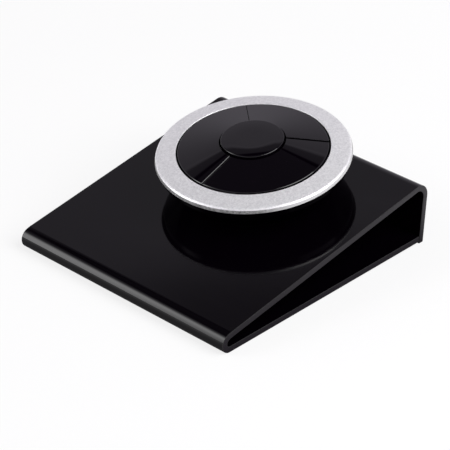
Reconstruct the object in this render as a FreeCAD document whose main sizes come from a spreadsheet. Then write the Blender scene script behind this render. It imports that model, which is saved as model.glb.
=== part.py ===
import FreeCAD, Part
import math
import os
import re
import Sketcher

# Waiter call button: a round radio call unit with four keys, taped to a wedge-shaped stand that
# is heat-bent from one sheet of acrylic.
#
# Millimetres, +Z up, front lip of the stand towards -Y.  The origin is the middle of the stand's
# footprint on the table.  Every piece of the call unit is drawn upright in the unit's own frame,
# where local Z is the unit's axis and height 0 is the upper face of the sloped sheet.  One shared
# placement then tilts it on to the slope.  Angles in plan are counted from +X, and 90 points up
# the slope.

SIZES = {
    # Bent sheet
    "stand_width": 125.0,
    "stand_depth": 140.0,
    "sheet_thickness": 3.0,
    "slope_angle": 10.0,
    "floor_angle": 0.45,
    "lip_radius": 5.0,
    "bend_radius": 7.5,
    "floor_gap": 0.4,
    "sheet_bevel": 0.3,
    "seat_distance": 87.7,
    # Foam tape under the call unit
    "pad_thickness": 1.0,
    "pad_inset": 1.9,
    "pad_bore_radius": 17.5,
    # Lower shell
    "base_radius": 33.9,
    "base_round": 1.2,
    "rim_radius": 44.3,
    "rim_rise": 11.9,
    "rim_band": 3.4,
    "rim_flare": 0.3,
    "rim_round": 0.6,
    "shell_wall": 2.0,
    "floor_thickness": 2.0,
    "rib_count": 12.0,
    "rib_width": 1.0,
    "rib_depth": 2.0,
    "rib_height": 5.0,
    "boss_radius": 3.2,
    "boss_height": 7.6,
    "boss_inset": 8.5,
    # Battery door
    "door_radius": 14.5,
    "door_clearance": 0.3,
    "door_skin": 1.5,
    "door_rim_width": 1.6,
    "door_rim_rise": 1.0,
    "door_seat_radius": 8.2,
    "door_seat_width": 1.2,
    "door_seat_rise": 1.4,
    "lug_count": 3.0,
    "lug_reach": 2.1,
    "lug_half_angle": 12.0,
    "notch_half_angle": 15.0,
    "coin_slot_length": 13.0,
    "coin_slot_width": 1.8,
    "coin_slot_depth": 0.9,
    # Battery and its holder
    "cell_radius": 12.25,
    "cell_thickness": 5.0,
    "cell_cap_radius": 10.4,
    "cell_cap_rise": 0.35,
    "cell_round": 0.6,
    "holder_clearance": 0.3,
    "holder_wall": 1.6,
    "holder_drop": 5.2,
    "holder_window": 6.0,
    "strip_thickness": 0.3,
    "strip_width": 4.0,
    "strip_foot": 3.0,
    "strip_ramp": 3.0,
    "strip_tip": 4.5,
    "blade_gap": 0.1,
    "blade_length": 4.6,
    # Circuit board and what it carries
    "board_margin": 4.3,
    "board_thickness": 1.6,
    "board_screw_clearance": 0.25,
    "switch_side": 6.0,
    "switch_height": 3.5,
    "switch_well_spare": 0.2,
    "switch_leg_length": 1.2,
    "switch_leg_width": 0.7,
    "switch_leg_thickness": 0.25,
    "switch_leg_pitch": 4.5,
    "plunger_radius": 1.75,
    "plunger_rise": 0.8,
    "plunger_depth": 1.3,
    "plunger_clearance": 0.05,
    "chip_length": 10.0,
    "chip_width": 3.9,
    "chip_height": 1.5,
    "chip_standoff": 0.15,
    "chip_radius": 19.0,
    "chip_angle": 157.0,
    "chip_leg_count": 8.0,
    "chip_leg_pitch": 1.27,
    "chip_leg_width": 0.45,
    "chip_leg_length": 1.05,
    "can_length": 11.0,
    "can_width": 4.6,
    "can_height": 3.2,
    "can_flange": 0.35,
    "can_corner": 2.2,
    "can_inset": 14.0,
    "can_angle": 10.0,
    "capacitor_radius": 2.5,
    "capacitor_height": 5.4,
    "capacitor_base": 5.3,
    "capacitor_base_rise": 0.9,
    "capacitor_inset": 14.0,
    "capacitor_angle": 200.0,
    "antenna_inset": 2.4,
    "antenna_wire_radius": 0.4,
    "antenna_rise": 1.2,
    "antenna_sweep_angle": 72.0,
    "antenna_angle": 230.0,
    "led_length": 3.2,
    "led_width": 2.4,
    "led_base_rise": 0.8,
    "led_dome_radius": 1.0,
    "led_dome_rise": 1.2,
    "led_inset": 3.0,
    # Key carrier
    "post_radius": 2.8,
    "post_height": 2.7,
    "plate_thickness": 1.4,
    "collar_radius": 13.4,
    "collar_wall": 1.2,
    "collar_rise": 4.7,
    "flange_clearance": 0.7,
    "skirt_wall": 1.5,
    "skirt_drop": 1.7,
    "skirt_clearance": 0.2,
    "window_margin": 0.4,
    "guide_clearance": 0.05,
    "pilot_depth": 1.0,
    "light_hole_radius": 1.2,
    # Silver ring
    "seam": 0.3,
    "ring_overhang": 1.5,
    "ring_side_rise": 2.1,
    "ring_side_inset": 0.5,
    "ring_rise": 1.6,
    "ring_face_width": 10.1,
    "ring_lip_thickness": 1.1,
    "ring_lip_reach": 2.3,
    "ring_outer_round": 0.8,
    "ring_inner_round": 0.3,
    "ring_relief_inset": 1.5,
    "ring_relief_width": 1.8,
    "ring_relief_depth": 1.2,
    "peg_count": 6.0,
    "peg_radius": 1.0,
    "peg_length": 1.5,
    "peg_offset": 3.6,
    "peg_clearance": 0.05,
    # Keys round the cap
    "key_travel": 0.5,
    "key_gap": 0.4,
    "key_drop": 0.4,
    "key_slope": 12.0,
    "key_wall": 1.6,
    "key_skirt": 2.5,
    "key_outer_corner": 1.1,
    "key_inner_corner": 0.6,
    "key_edge_round": 0.3,
    "groove_width": 0.5,
    "groove_right": 45.0,
    "groove_left": 135.0,
    "groove_front": 270.0,
    "key_flange_reach": 1.9,
    "key_flange_thickness": 1.2,
    "key_flange_inset_angle": 4.0,
    "stem_inset": 10.3,
    "stem_radius": 2.5,
    "pin_radius": 1.5,
    "pin_inset_angle": 20.0,
    "pin_head_radius": 1.8,
    "pin_head_rise": 0.6,
    "snap_clearance": 0.3,
    # Cap in the middle
    "cap_radius": 14.8,
    "cap_gap": 0.5,
    "cap_step": 1.0,
    "cap_dome": 0.9,
    "cap_skin": 1.7,
    "cap_skirt": 5.6,
    "cap_skirt_wall": 1.05,
    "cap_edge_round": 0.45,
    "cap_guide_clearance": 0.1,
    "cap_guide_wall": 1.4,
    "cap_lug_reach": 0.9,
    "cap_lug_half_angle": 14.0,
    "cap_slot_half_angle": 6.0,
    "cap_slot_height": 5.0,
    # Screws
    "screw_radius": 1.15,
    "screw_clearance": 0.2,
    "screw_bite": 0.05,
    "screw_tip_gap": 0.3,
    "screw_head_radius": 2.2,
    "screw_head_rise": 1.6,
    "screw_head_clearance": 0.2,
    "screw_recess": 0.4,
    "screw_slot_length": 2.6,
    "screw_slot_width": 0.6,
    "screw_slot_depth": 0.8,
}

DERIVED = {
    # Side view of the sheet, Y across and Z up
    "slope": "slope_angle * 1 deg",
    "floor_tilt": "floor_angle * 1 deg",
    "back_y": "stand_depth / 2",
    "leg_y": "back_y - sheet_thickness",
    "lip_y": "lip_radius - back_y",
    "lip_under_y": "lip_y + lip_radius * sin(floor_tilt)",
    "lip_under_z": "lip_radius - lip_radius * cos(floor_tilt)",
    "floor_end_y": "leg_y - floor_gap",
    "floor_end_z": "lip_under_z + (floor_end_y - lip_under_y) * tan(floor_tilt)",
    "slope_start_y": "lip_y - lip_radius * sin(slope)",
    "slope_start_z": "lip_radius + lip_radius * cos(slope)",
    "slope_end_y": "back_y - bend_radius - bend_radius * sin(slope)",
    "slope_end_z": "slope_start_z + (slope_end_y - slope_start_y) * tan(slope)",
    "bend_z": "slope_end_z - bend_radius * cos(slope)",
    "seat_y": "slope_start_y + seat_distance * cos(slope)",
    "seat_z": "slope_start_z + seat_distance * sin(slope)",
    # Heights above the sheet
    "floor_top": "pad_thickness + floor_thickness",
    "rim_height": "pad_thickness + rim_rise",
    "shell_top": "rim_height + rim_band",
    "board_under": "floor_top + boss_height",
    "board_top": "board_under + board_thickness",
    "switch_top": "board_top + switch_height",
    "plunger_top": "switch_top + plunger_rise",
    "plate_under": "board_top + post_height",
    "plate_top": "plate_under + plate_thickness",
    "ring_under": "shell_top + seam",
    "ring_shoulder": "ring_under + ring_side_rise",
    "ring_crest": "ring_shoulder + ring_rise",
    "ring_lip_under": "ring_crest - ring_lip_thickness",
    "key_edge": "ring_crest - key_drop",
    "key_under": "key_edge - key_skirt",
    "key_flange_top": "ring_lip_under - snap_clearance",
    "key_crown": "key_edge + (key_radius - key_bore_radius) * tan(key_slope * 1 deg)",
    "cap_edge": "key_crown + cap_step",
    "cap_under": "cap_edge - cap_skin",
    "snap_top": "plate_under - snap_clearance",
    "snap_under": "snap_top - pin_head_rise",
    "screw_head_top": "pad_thickness + screw_recess + screw_head_rise",
    "screw_length": "plate_under + pilot_depth - screw_tip_gap - screw_head_top",
    # Radii: the rim of the shell leads, and what is inside it or on it follows
    "pad_radius": "base_radius - pad_inset",
    "shell_flare": "(rim_radius - base_radius) / rim_rise",
    "shell_floor_radius": "base_radius + floor_thickness * shell_flare - shell_wall",
    "shell_mouth_radius": "rim_radius - shell_wall",
    "door_opening_radius": "door_radius + door_clearance",
    "lug_radius": "door_radius + lug_reach",
    "holder_bore_radius": "cell_radius + holder_clearance",
    "collar_bore_radius": "collar_radius - collar_wall",
    "board_radius": "shell_mouth_radius - board_margin",
    "boss_pitch_radius": "board_radius - boss_inset",
    "antenna_radius": "board_radius - antenna_inset",
    "led_pitch_radius": "board_radius - led_inset",
    "can_radius": "board_radius - can_inset",
    "capacitor_pitch_radius": "board_radius - capacitor_inset",
    "carrier_radius": "shell_mouth_radius - skirt_clearance",
    "ring_radius": "rim_radius + ring_overhang",
    "ring_bore_radius": "ring_radius - ring_face_width",
    "ring_relief_outer": "ring_radius - ring_relief_inset",
    "ring_relief_inner": "ring_relief_outer - ring_relief_width",
    "peg_pitch_radius": "ring_bore_radius + peg_offset",
    "key_radius": "ring_bore_radius - key_gap",
    "key_press_radius": "key_radius - stem_inset",
    "key_bore_radius": "cap_radius + cap_gap",
    "key_flange_radius": "key_radius + key_flange_reach",
    "flange_inner_radius": "key_flange_radius + flange_clearance",
    "cap_guide_radius": "collar_bore_radius - cap_guide_clearance",
    "cell_under": "pad_thickness + door_skin + door_seat_rise",
    "cell_top": "cell_under + cell_thickness",
}

# Plan angles at which each outer key starts and ends, running anticlockwise
KEY_SPANS = {
    "rear": ("groove_right", "groove_left"),
    "left": ("groove_left", "groove_front"),
    "right": ("groove_front - 360", "groove_right"),
}
GROOVES = ("groove_right", "groove_left", "groove_front")
FULL_TURN = "360"

# Millimetres by which a measured place may miss the one it is compared with
NO_OFFSET = 1e-6
SAME_SIZE = 1e-4
SAME_SURFACE = 1e-3

doc = FreeCAD.newDocument("WaiterCallButton")
pieces = []


# ---------------------------------------------------------------- sheet of sizes and formulas

def write_sizes():
    """Put every driving size in a spreadsheet cell with its own alias."""
    cells = doc.addObject("Spreadsheet::Sheet", "Sizes")
    for row, (alias, size) in enumerate(SIZES.items(), start=1):
        cells.set(f"A{row}", alias)
        cells.set(f"B{row}", str(size))
        cells.setAlias(f"B{row}", alias)
    doc.recompute()
    return cells


def formula(text):
    """Spell out sizes and derived sizes in a text as an expression on the spreadsheet."""
    def spell(match):
        word = match.group(0)
        if word in DERIVED:
            return "(" + formula(DERIVED[word]) + ")"
        if word in SIZES:
            return "Sizes." + word
        return word
    return re.sub(r"[a-z][a-z_]*", spell, str(text))


def number(text):
    """The value that a formula has now."""
    result = sheet.evalExpression(formula(text))
    return float(getattr(result, "Value", result))


# ---------------------------------------------------------------- bodies, sketches, features

def new_body(label):
    """Start a body that stays in the stand's frame."""
    body = doc.addObject("PartDesign::Body", label)
    body.Label = label
    pieces.append(body)
    return body


def new_unit_body(label, plan_angle="0"):
    """Start a body of the call unit, turned in plan and then tilted on to the slope."""
    body = new_body(label)
    seat = "vector(0; seat_y; seat_z)"
    tilt = "rotation(vector(1; 0; 0); slope_angle)"
    turn = f"rotation(vector(0; 0; 1); {plan_angle})"
    body.setExpression("Placement", formula(f"placement({seat}; {tilt} * {turn})"))
    return body


def new_sketch(body, role, lift="0"):
    """Start a sketch on one of the body's own origin planes, raised by a formula."""
    plane = next(item for item in body.Origin.OriginFeatures if item.Role == role)
    sketch = body.newObject("Sketcher::SketchObject", body.Label + "_sketch")
    sketch.AttachmentSupport = (plane, [""])
    sketch.MapMode = "FlatFace"
    sketch.setExpression("AttachmentOffset.Base.z", formula(lift))
    return sketch


def bind(sketch, constraint, text):
    """Add a dimension to a sketch and tie it to a formula."""
    index = sketch.addConstraint(constraint)
    sketch.setExpression(f"Constraints[{index}]", formula(text))


def bind_point(sketch, edge, end, x_text, y_text):
    """Tie both coordinates of a sketch point to formulas."""
    bind(sketch, Sketcher.Constraint("DistanceX", -1, 1, edge, end, number(x_text)), x_text)
    bind(sketch, Sketcher.Constraint("DistanceY", -1, 1, edge, end, number(y_text)), y_text)


def minor_arc(start, end, radius, turn):
    """Arc of less than half a circle; turn 1 runs anticlockwise and -1 clockwise."""
    chord = end - start
    left = FreeCAD.Vector(-chord.y, chord.x).normalize()
    rise = math.sqrt(radius ** 2 - (chord.Length / 2) ** 2)
    centre = start + chord * 0.5 + left * (turn * rise)
    low, high = (start, end) if turn > 0 else (end, start)
    angles = [math.atan2(spot.y - centre.y, spot.x - centre.x) for spot in (low, high)]
    circle = Part.Circle(centre, FreeCAD.Vector(0, 0, 1), radius)
    return Part.ArcOfCircle(circle, angles[0], angles[1])


def draw_outline(sketch, corners):
    """Draw a closed outline. A corner is (x, y), or (x, y, radius, turn) if an arc leads to it."""
    first = sketch.GeometryCount
    spots = [FreeCAD.Vector(number(x_text), number(y_text)) for x_text, y_text, *_ in corners]
    starts, ends = [], []
    for index, (_, _, *arc) in enumerate(corners):
        start, end = spots[index - 1], spots[index]
        clockwise = False
        if arc:
            radius, turn = arc
            clockwise = turn < 0
            sketch.addGeometry(minor_arc(start, end, number(radius), turn))
        else:
            sketch.addGeometry(Part.LineSegment(start, end))
        starts.append(2 if clockwise else 1)
        ends.append(1 if clockwise else 2)
    for index, (x_text, y_text, *arc) in enumerate(corners):
        following = (index + 1) % len(corners)
        joint = (first + index, ends[index], first + following, starts[following])
        sketch.addConstraint(Sketcher.Constraint("Coincident", *joint))
        bind_point(sketch, first + index, ends[index], x_text, y_text)
        if arc:
            radius = arc[0]
            bind(sketch, Sketcher.Constraint("Radius", first + index, number(radius)), radius)
    return sketch


def draw_circle(sketch, x_text, y_text, radius_text):
    """Draw a circle with its centre and radius tied to formulas."""
    centre = FreeCAD.Vector(number(x_text), number(y_text))
    axis = FreeCAD.Vector(0, 0, 1)
    edge = sketch.addGeometry(Part.Circle(centre, axis, number(radius_text)))
    bind_point(sketch, edge, 3, x_text, y_text)
    bind(sketch, Sketcher.Constraint("Radius", edge, number(radius_text)), radius_text)
    return sketch


def draw_box(sketch, x_text, y_text, length, width):
    """Draw a rectangle round a centre."""
    left, right = f"({x_text}) - ({length}) / 2", f"({x_text}) + ({length}) / 2"
    low, high = f"({y_text}) - ({width}) / 2", f"({y_text}) + ({width}) / 2"
    return draw_outline(sketch, [(left, low), (right, low), (right, high), (left, high)])


def add_feature(body, kind, sketch, **settings):
    """Add a sketch-based feature, with its settings tied to formulas, and make it the tip."""
    feature = body.newObject("PartDesign::" + kind, f"{body.Label}_{kind.lower()}")
    feature.Profile = sketch
    for name, setting in settings.items():
        if isinstance(setting, str) and name != "SideType":
            feature.setExpression(name, formula(setting))
        else:
            setattr(feature, name, setting)
    body.Tip = feature
    return feature


def pad(body, sketch, length, **settings):
    return add_feature(body, "Pad", sketch, Length=length, **settings)


def pocket(body, sketch, length, **settings):
    return add_feature(body, "Pocket", sketch, Length=length, **settings)


def turn_solid(body, corners, angle=FULL_TURN, **settings):
    """Revolve an outline of (radius, height) corners about the body's axis."""
    sketch = draw_outline(new_sketch(body, "XZ_Plane"), corners)
    axis = (sketch, ["V_Axis"])
    return add_feature(body, "Revolution", sketch, ReferenceAxis=axis, Angle=angle, **settings)


def turn_cut(body, corners):
    """Cut away an outline of (radius, height) corners revolved a full turn, with its seam at -X."""
    sketch = draw_outline(new_sketch(body, "XZ_Plane"), corners)
    axis = (sketch, ["V_Axis"])
    return add_feature(body, "Groove", sketch, ReferenceAxis=axis, Angle=FULL_TURN, Midplane=True)


def repeat_round(body, feature, count):
    """Repeat a feature evenly round the body's axis."""
    pattern = body.newObject("PartDesign::PolarPattern", body.Label + "_pattern")
    pattern.Originals = [feature]
    pattern.Axis = (feature.Profile[0], ["N_Axis"])
    pattern.Angle = 360
    pattern.setExpression("Occurrences", formula(count))
    body.Tip = pattern
    return pattern


def dress_edges(body, kind, size, wanted):
    """Fillet or chamfer those edges of the tip for which the test holds."""
    doc.recompute()
    tip = body.Tip
    names = []
    for index, edge in enumerate(tip.Shape.Edges, start=1):
        if not edge.Degenerated and wanted(edge):
            names.append(f"Edge{index}")
    if not names:
        raise RuntimeError(f"{body.Label}: no edge to dress")
    dress = body.newObject("PartDesign::" + kind, f"{body.Label}_{kind.lower()}")
    dress.Base = (tip, names)
    dress.setExpression("Radius" if kind == "Fillet" else "Size", formula(size))
    body.Tip = dress
    return dress


def polar(radius, angle):
    """Plan position at a radius and an angle in degrees, as two formulas."""
    return f"({radius}) * cos(({angle}) * 1 deg)", f"({radius}) * sin(({angle}) * 1 deg)"


def sector(inner, outer, half_angle, middle="0"):
    """Outline of a ring sector about a middle angle."""
    low, high = f"{middle} - ({half_angle})", f"{middle} + ({half_angle})"
    return [
        polar(inner, low) + (inner, -1),
        polar(outer, low),
        polar(outer, high) + (outer, 1),
        polar(inner, high),
    ]


def is_upright(edge):
    """True for a straight edge that runs along the body's axis."""
    start, end = edge.Vertexes[0].Point, edge.Vertexes[-1].Point
    return abs(abs(end.z - start.z) - edge.Length) < NO_OFFSET


def circle_at(radius, height):
    """Test for the circular edges at one radius and height, both given as formulas."""
    def wanted(edge):
        curve = edge.Curve
        if not isinstance(curve, Part.Circle):
            return False
        on_axis = math.hypot(curve.Center.x, curve.Center.y) < NO_OFFSET
        same = abs(curve.Radius - number(radius)) < SAME_SIZE
        return on_axis and same and abs(curve.Center.z - number(height)) < SAME_SIZE
    return wanted


# ---------------------------------------------------------------- stand and tape

def make_stand():
    """One bent sheet: floor, front lip, slope, rear bend and leg, drawn in side view."""
    body = new_body("acrylic_stand")
    inner_lip = "lip_radius - sheet_thickness"
    inner_bend = "bend_radius - sheet_thickness"
    side_view = draw_outline(new_sketch(body, "YZ_Plane"), [
        ("floor_end_y", "floor_end_z"),
        ("lip_under_y", "lip_under_z"),
        ("slope_start_y", "slope_start_z", "lip_radius", -1),
        ("slope_end_y", "slope_end_z"),
        ("back_y", "bend_z", "bend_radius", -1),
        ("back_y", "0"),
        ("leg_y", "0"),
        ("leg_y", "bend_z"),
        ("slope_end_y + sheet_thickness * sin(slope)",
         "slope_end_z - sheet_thickness * cos(slope)", inner_bend, 1),
        ("slope_start_y + sheet_thickness * sin(slope)",
         "slope_start_z - sheet_thickness * cos(slope)"),
        ("lip_under_y - sheet_thickness * sin(floor_tilt)",
         "lip_under_z + sheet_thickness * cos(floor_tilt)", inner_lip, 1),
        ("floor_end_y - sheet_thickness * sin(floor_tilt)",
         "floor_end_z + sheet_thickness * cos(floor_tilt)"),
    ])
    pad(body, side_view, "stand_width", SideType="Symmetric")

    def on_sawn_side(edge):
        reaches = [abs(spot.X) - number("stand_width / 2") for spot in edge.Vertexes]
        return all(abs(reach) < NO_OFFSET for reach in reaches)

    dress_edges(body, "Chamfer", "sheet_bevel", on_sawn_side)


def make_adhesive_pad():
    """Foam tape ring between the sheet and the lower shell."""
    body = new_unit_body("adhesive_pad")
    turn_solid(body, [
        ("pad_bore_radius", "0"),
        ("pad_radius", "0"),
        ("pad_radius", "pad_thickness"),
        ("pad_bore_radius", "pad_thickness"),
    ])


# ---------------------------------------------------------------- lower shell and battery door

def make_lower_shell():
    """Tapered bowl with a door opening, three screw bosses and stiffening ribs."""
    body = new_unit_body("lower_shell")
    turn_solid(body, [
        ("door_opening_radius", "pad_thickness"),
        ("base_radius", "pad_thickness"),
        ("rim_radius", "rim_height"),
        ("rim_radius + rim_flare", "shell_top"),
        ("shell_mouth_radius", "shell_top"),
        ("shell_mouth_radius", "rim_height"),
        ("shell_floor_radius", "floor_top"),
        ("door_opening_radius", "floor_top"),
    ])
    dress_edges(body, "Fillet", "base_round", circle_at("base_radius", "pad_thickness"))
    dress_edges(body, "Fillet", "rim_round", circle_at("rim_radius", "rim_height"))

    bosses = new_sketch(body, "XY_Plane", "floor_top")
    for groove in GROOVES:
        draw_circle(bosses, *polar("boss_pitch_radius", groove), "boss_radius")
    pad(body, bosses, "boss_height")

    rib = draw_box(new_sketch(body, "XY_Plane", "floor_top"),
                   "shell_floor_radius + (shell_wall - rib_depth) / 2", "0",
                   "rib_depth + shell_wall", "rib_width")
    repeat_round(body, pad(body, rib, "rib_height"), "rib_count")

    shanks = new_sketch(body, "XY_Plane", "pad_thickness")
    heads = new_sketch(body, "XY_Plane", "pad_thickness")
    for groove in GROOVES:
        spot = polar("boss_pitch_radius", groove)
        draw_circle(shanks, *spot, "screw_radius + screw_clearance")
        draw_circle(heads, *spot, "screw_head_radius + screw_head_clearance")
    pocket(body, shanks, "floor_thickness + boss_height", Reversed=True)
    pocket(body, heads, "screw_recess + screw_head_rise", Reversed=True)

    notch = draw_outline(new_sketch(body, "XY_Plane", "pad_thickness"),
                         sector("door_radius - door_clearance", "lug_radius + door_clearance",
                                "notch_half_angle", "180 / lug_count"))
    repeat_round(body, pocket(body, notch, "floor_thickness", Reversed=True), "lug_count")


def make_battery_door():
    """Round twist-in door: a skin, a rim whose lugs rest on the shell's floor, and a cell seat."""
    body = new_unit_body("battery_door")
    skin_top = "pad_thickness + door_skin"
    rim_top = "floor_top + door_rim_rise"
    rim_bore = "door_radius - door_rim_width"
    seat_bore = "door_seat_radius - door_seat_width"
    turn_solid(body, [
        ("0", "pad_thickness"),
        ("door_radius", "pad_thickness"),
        ("door_radius", rim_top),
        (rim_bore, rim_top),
        (rim_bore, skin_top),
        ("door_seat_radius", skin_top),
        ("door_seat_radius", "cell_under"),
        (seat_bore, "cell_under"),
        (seat_bore, skin_top),
        ("0", skin_top),
    ])
    lug = draw_outline(new_sketch(body, "XY_Plane", "floor_top"),
                       sector("door_radius - door_rim_width / 2", "lug_radius", "lug_half_angle"))
    repeat_round(body, pad(body, lug, "door_rim_rise"), "lug_count")
    slot = draw_box(new_sketch(body, "XY_Plane", "pad_thickness"), "0", "0",
                    "coin_slot_length", "coin_slot_width")
    pocket(body, slot, "coin_slot_depth", Reversed=True)


# ---------------------------------------------------------------- battery, holder and contacts

def make_coin_cell():
    """Coin cell with its smaller cap upwards."""
    body = new_unit_body("coin_cell")
    can_top = "cell_top - cell_cap_rise"
    turn_solid(body, [
        ("0", "cell_under"),
        ("cell_radius", "cell_under"),
        ("cell_radius", can_top),
        ("cell_cap_radius", can_top),
        ("cell_cap_radius - cell_cap_rise", "cell_top"),
        ("0", "cell_top"),
    ])
    dress_edges(body, "Fillet", "cell_round", circle_at("cell_radius", "cell_under"))
    dress_edges(body, "Fillet", "cell_round", circle_at("cell_radius", can_top))


def make_battery_holder():
    """Ring under the board that centres the cell, with a window for the side contact."""
    body = new_unit_body("battery_holder")
    holder_under = "board_under - holder_drop"
    turn_solid(body, [
        ("holder_bore_radius", holder_under),
        ("holder_bore_radius + holder_wall", holder_under),
        ("holder_bore_radius + holder_wall", "board_under"),
        ("holder_bore_radius", "board_under"),
    ])
    window = draw_box(new_sketch(body, "XY_Plane", holder_under),
                      "-holder_bore_radius", "0", "4 * holder_wall", "holder_window")
    pocket(body, window, "holder_drop", Reversed=True)


def make_contacts():
    """Two sprung strips: one ramps down to the cell's cap, one stands beside its can."""
    strip = "strip_thickness"
    cap_strip = new_unit_body("negative_contact")
    heel = "strip_tip / 2 + strip_ramp"
    profile = draw_outline(new_sketch(cap_strip, "XZ_Plane"), [
        ("-strip_tip / 2", "cell_top"),
        ("strip_tip / 2", "cell_top"),
        (heel, f"board_under - {strip}"),
        (f"{heel} + strip_foot", f"board_under - {strip}"),
        (f"{heel} + strip_foot", "board_under"),
        (f"{heel} - {strip}", "board_under"),
        (f"strip_tip / 2 - {strip}", f"cell_top + {strip}"),
        ("-strip_tip / 2", f"cell_top + {strip}"),
    ])
    pad(cap_strip, profile, "strip_width", SideType="Symmetric")

    can_strip = new_unit_body("positive_contact")
    face = "-cell_radius - blade_gap"
    foot_end = f"{face} - strip_foot - {strip}"
    profile = draw_outline(new_sketch(can_strip, "XZ_Plane"), [
        (face, "board_under - blade_length"),
        (face, "board_under"),
        (foot_end, "board_under"),
        (foot_end, f"board_under - {strip}"),
        (f"{face} - {strip}", f"board_under - {strip}"),
        (f"{face} - {strip}", "board_under - blade_length"),
    ])
    pad(can_strip, profile, "strip_width", SideType="Symmetric")


# ---------------------------------------------------------------- circuit board and electronics

def make_circuit_board():
    """Round board, clamped between the shell's bosses and the carrier's posts."""
    body = new_unit_body("circuit_board")
    disc = draw_circle(new_sketch(body, "XY_Plane", "board_under"), "0", "0", "board_radius")
    pad(body, disc, "board_thickness")
    holes = new_sketch(body, "XY_Plane", "board_under")
    for groove in GROOVES:
        spot = polar("boss_pitch_radius", groove)
        draw_circle(holes, *spot, "screw_radius + board_screw_clearance")
    pocket(body, holes, "board_thickness", Reversed=True)


def make_switch(name, radius, plan_angle):
    """Tactile switch: a square case with a well and four legs, and the plunger in the well."""
    case = new_unit_body(name + "_switch", plan_angle)
    square = draw_box(new_sketch(case, "XY_Plane", "board_top"), radius, "0",
                      "switch_side", "switch_side")
    pad(case, square, "switch_height")
    dress_edges(case, "Chamfer", "switch_leg_thickness", is_upright)
    well = draw_circle(new_sketch(case, "XY_Plane", "switch_top"), radius, "0",
                       "plunger_radius + plunger_clearance")
    pocket(case, well, "plunger_depth + key_travel + switch_well_spare")
    legs = new_sketch(case, "XY_Plane", "board_top")
    for side in ("-1", "1"):
        for row in ("-1", "1"):
            draw_box(legs, f"{radius} + {side} * switch_side / 2", f"{row} * switch_leg_pitch / 2",
                     "2 * switch_leg_length", "switch_leg_width")
    pad(case, legs, "switch_leg_thickness")

    plunger = new_unit_body(name + "_plunger", plan_angle)
    disc = draw_circle(new_sketch(plunger, "XY_Plane", "switch_top - plunger_depth"),
                       radius, "0", "plunger_radius")
    pad(plunger, disc, "plunger_depth + plunger_rise")


def make_encoder_chip():
    """Small-outline chip on two rows of legs."""
    body = new_unit_body("encoder_chip", "chip_angle")
    block = draw_box(new_sketch(body, "XY_Plane", "board_top + chip_standoff"),
                     "chip_radius", "0", "chip_width", "chip_length")
    pad(body, block, "chip_height")
    first_row = "(1 - chip_leg_count) / 2 * chip_leg_pitch"
    legs = new_sketch(body, "XY_Plane", "board_top")
    for step in range(int(SIZES["chip_leg_count"])):
        draw_box(legs, "chip_radius", f"{first_row} + {step} * chip_leg_pitch",
                 "chip_width + 2 * chip_leg_length", "chip_leg_width")
    pad(body, legs, "2 * chip_standoff")


def make_crystal_can():
    """Oblong metal can on a thin flange, under the board."""
    body = new_unit_body("crystal_can", "can_angle")
    flange = draw_box(new_sketch(body, "XY_Plane", "board_under"), "can_radius", "0",
                      "can_width + 2 * can_flange", "can_length + 2 * can_flange")
    pad(body, flange, "can_flange", Reversed=True)
    can = draw_box(new_sketch(body, "XY_Plane", "board_under"), "can_radius", "0",
                   "can_width", "can_length")
    pad(body, can, "can_height", Reversed=True)
    dress_edges(body, "Fillet", "can_corner", is_upright)


def make_smoothing_capacitor():
    """Can capacitor on a square base, under the board."""
    body = new_unit_body("smoothing_capacitor", "capacitor_angle")
    base = draw_box(new_sketch(body, "XY_Plane", "board_under"), "capacitor_pitch_radius", "0",
                    "capacitor_base", "capacitor_base")
    pad(body, base, "capacitor_base_rise", Reversed=True)
    dress_edges(body, "Chamfer", "capacitor_base_rise", is_upright)
    can = draw_circle(new_sketch(body, "XY_Plane", "board_under"), "capacitor_pitch_radius", "0",
                      "capacitor_radius")
    pad(body, can, "capacitor_height", Reversed=True)


def make_loop_antenna():
    """Wire bent into an arc above the board's edge, on a leg at each end."""
    body = new_unit_body("loop_antenna", "antenna_angle")
    wire = "antenna_wire_radius"
    height = "board_top + antenna_rise"
    ring = draw_circle(new_sketch(body, "XZ_Plane"), "antenna_radius", height, wire)
    add_feature(body, "Revolution", ring, ReferenceAxis=(ring, ["V_Axis"]),
                Angle="antenna_sweep_angle", Midplane=True)
    for side in ("-1", "1"):
        foot = new_sketch(body, "XY_Plane", "board_top")
        draw_circle(foot, *polar("antenna_radius", f"{side} * antenna_sweep_angle / 2"), wire)
        pad(body, foot, "antenna_rise")


def make_indicator_led():
    """Surface-mount lamp under the outer end of the rear left groove."""
    body = new_unit_body("indicator_led", "groove_left")
    block = draw_box(new_sketch(body, "XY_Plane", "board_top"), "led_pitch_radius", "0",
                     "led_width", "led_length")
    pad(body, block, "led_base_rise")
    dome = draw_circle(new_sketch(body, "XY_Plane", "board_top"), "led_pitch_radius", "0",
                       "led_dome_radius")
    pad(body, dome, "led_base_rise + led_dome_rise")


# ---------------------------------------------------------------- carrier and ring

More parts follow.
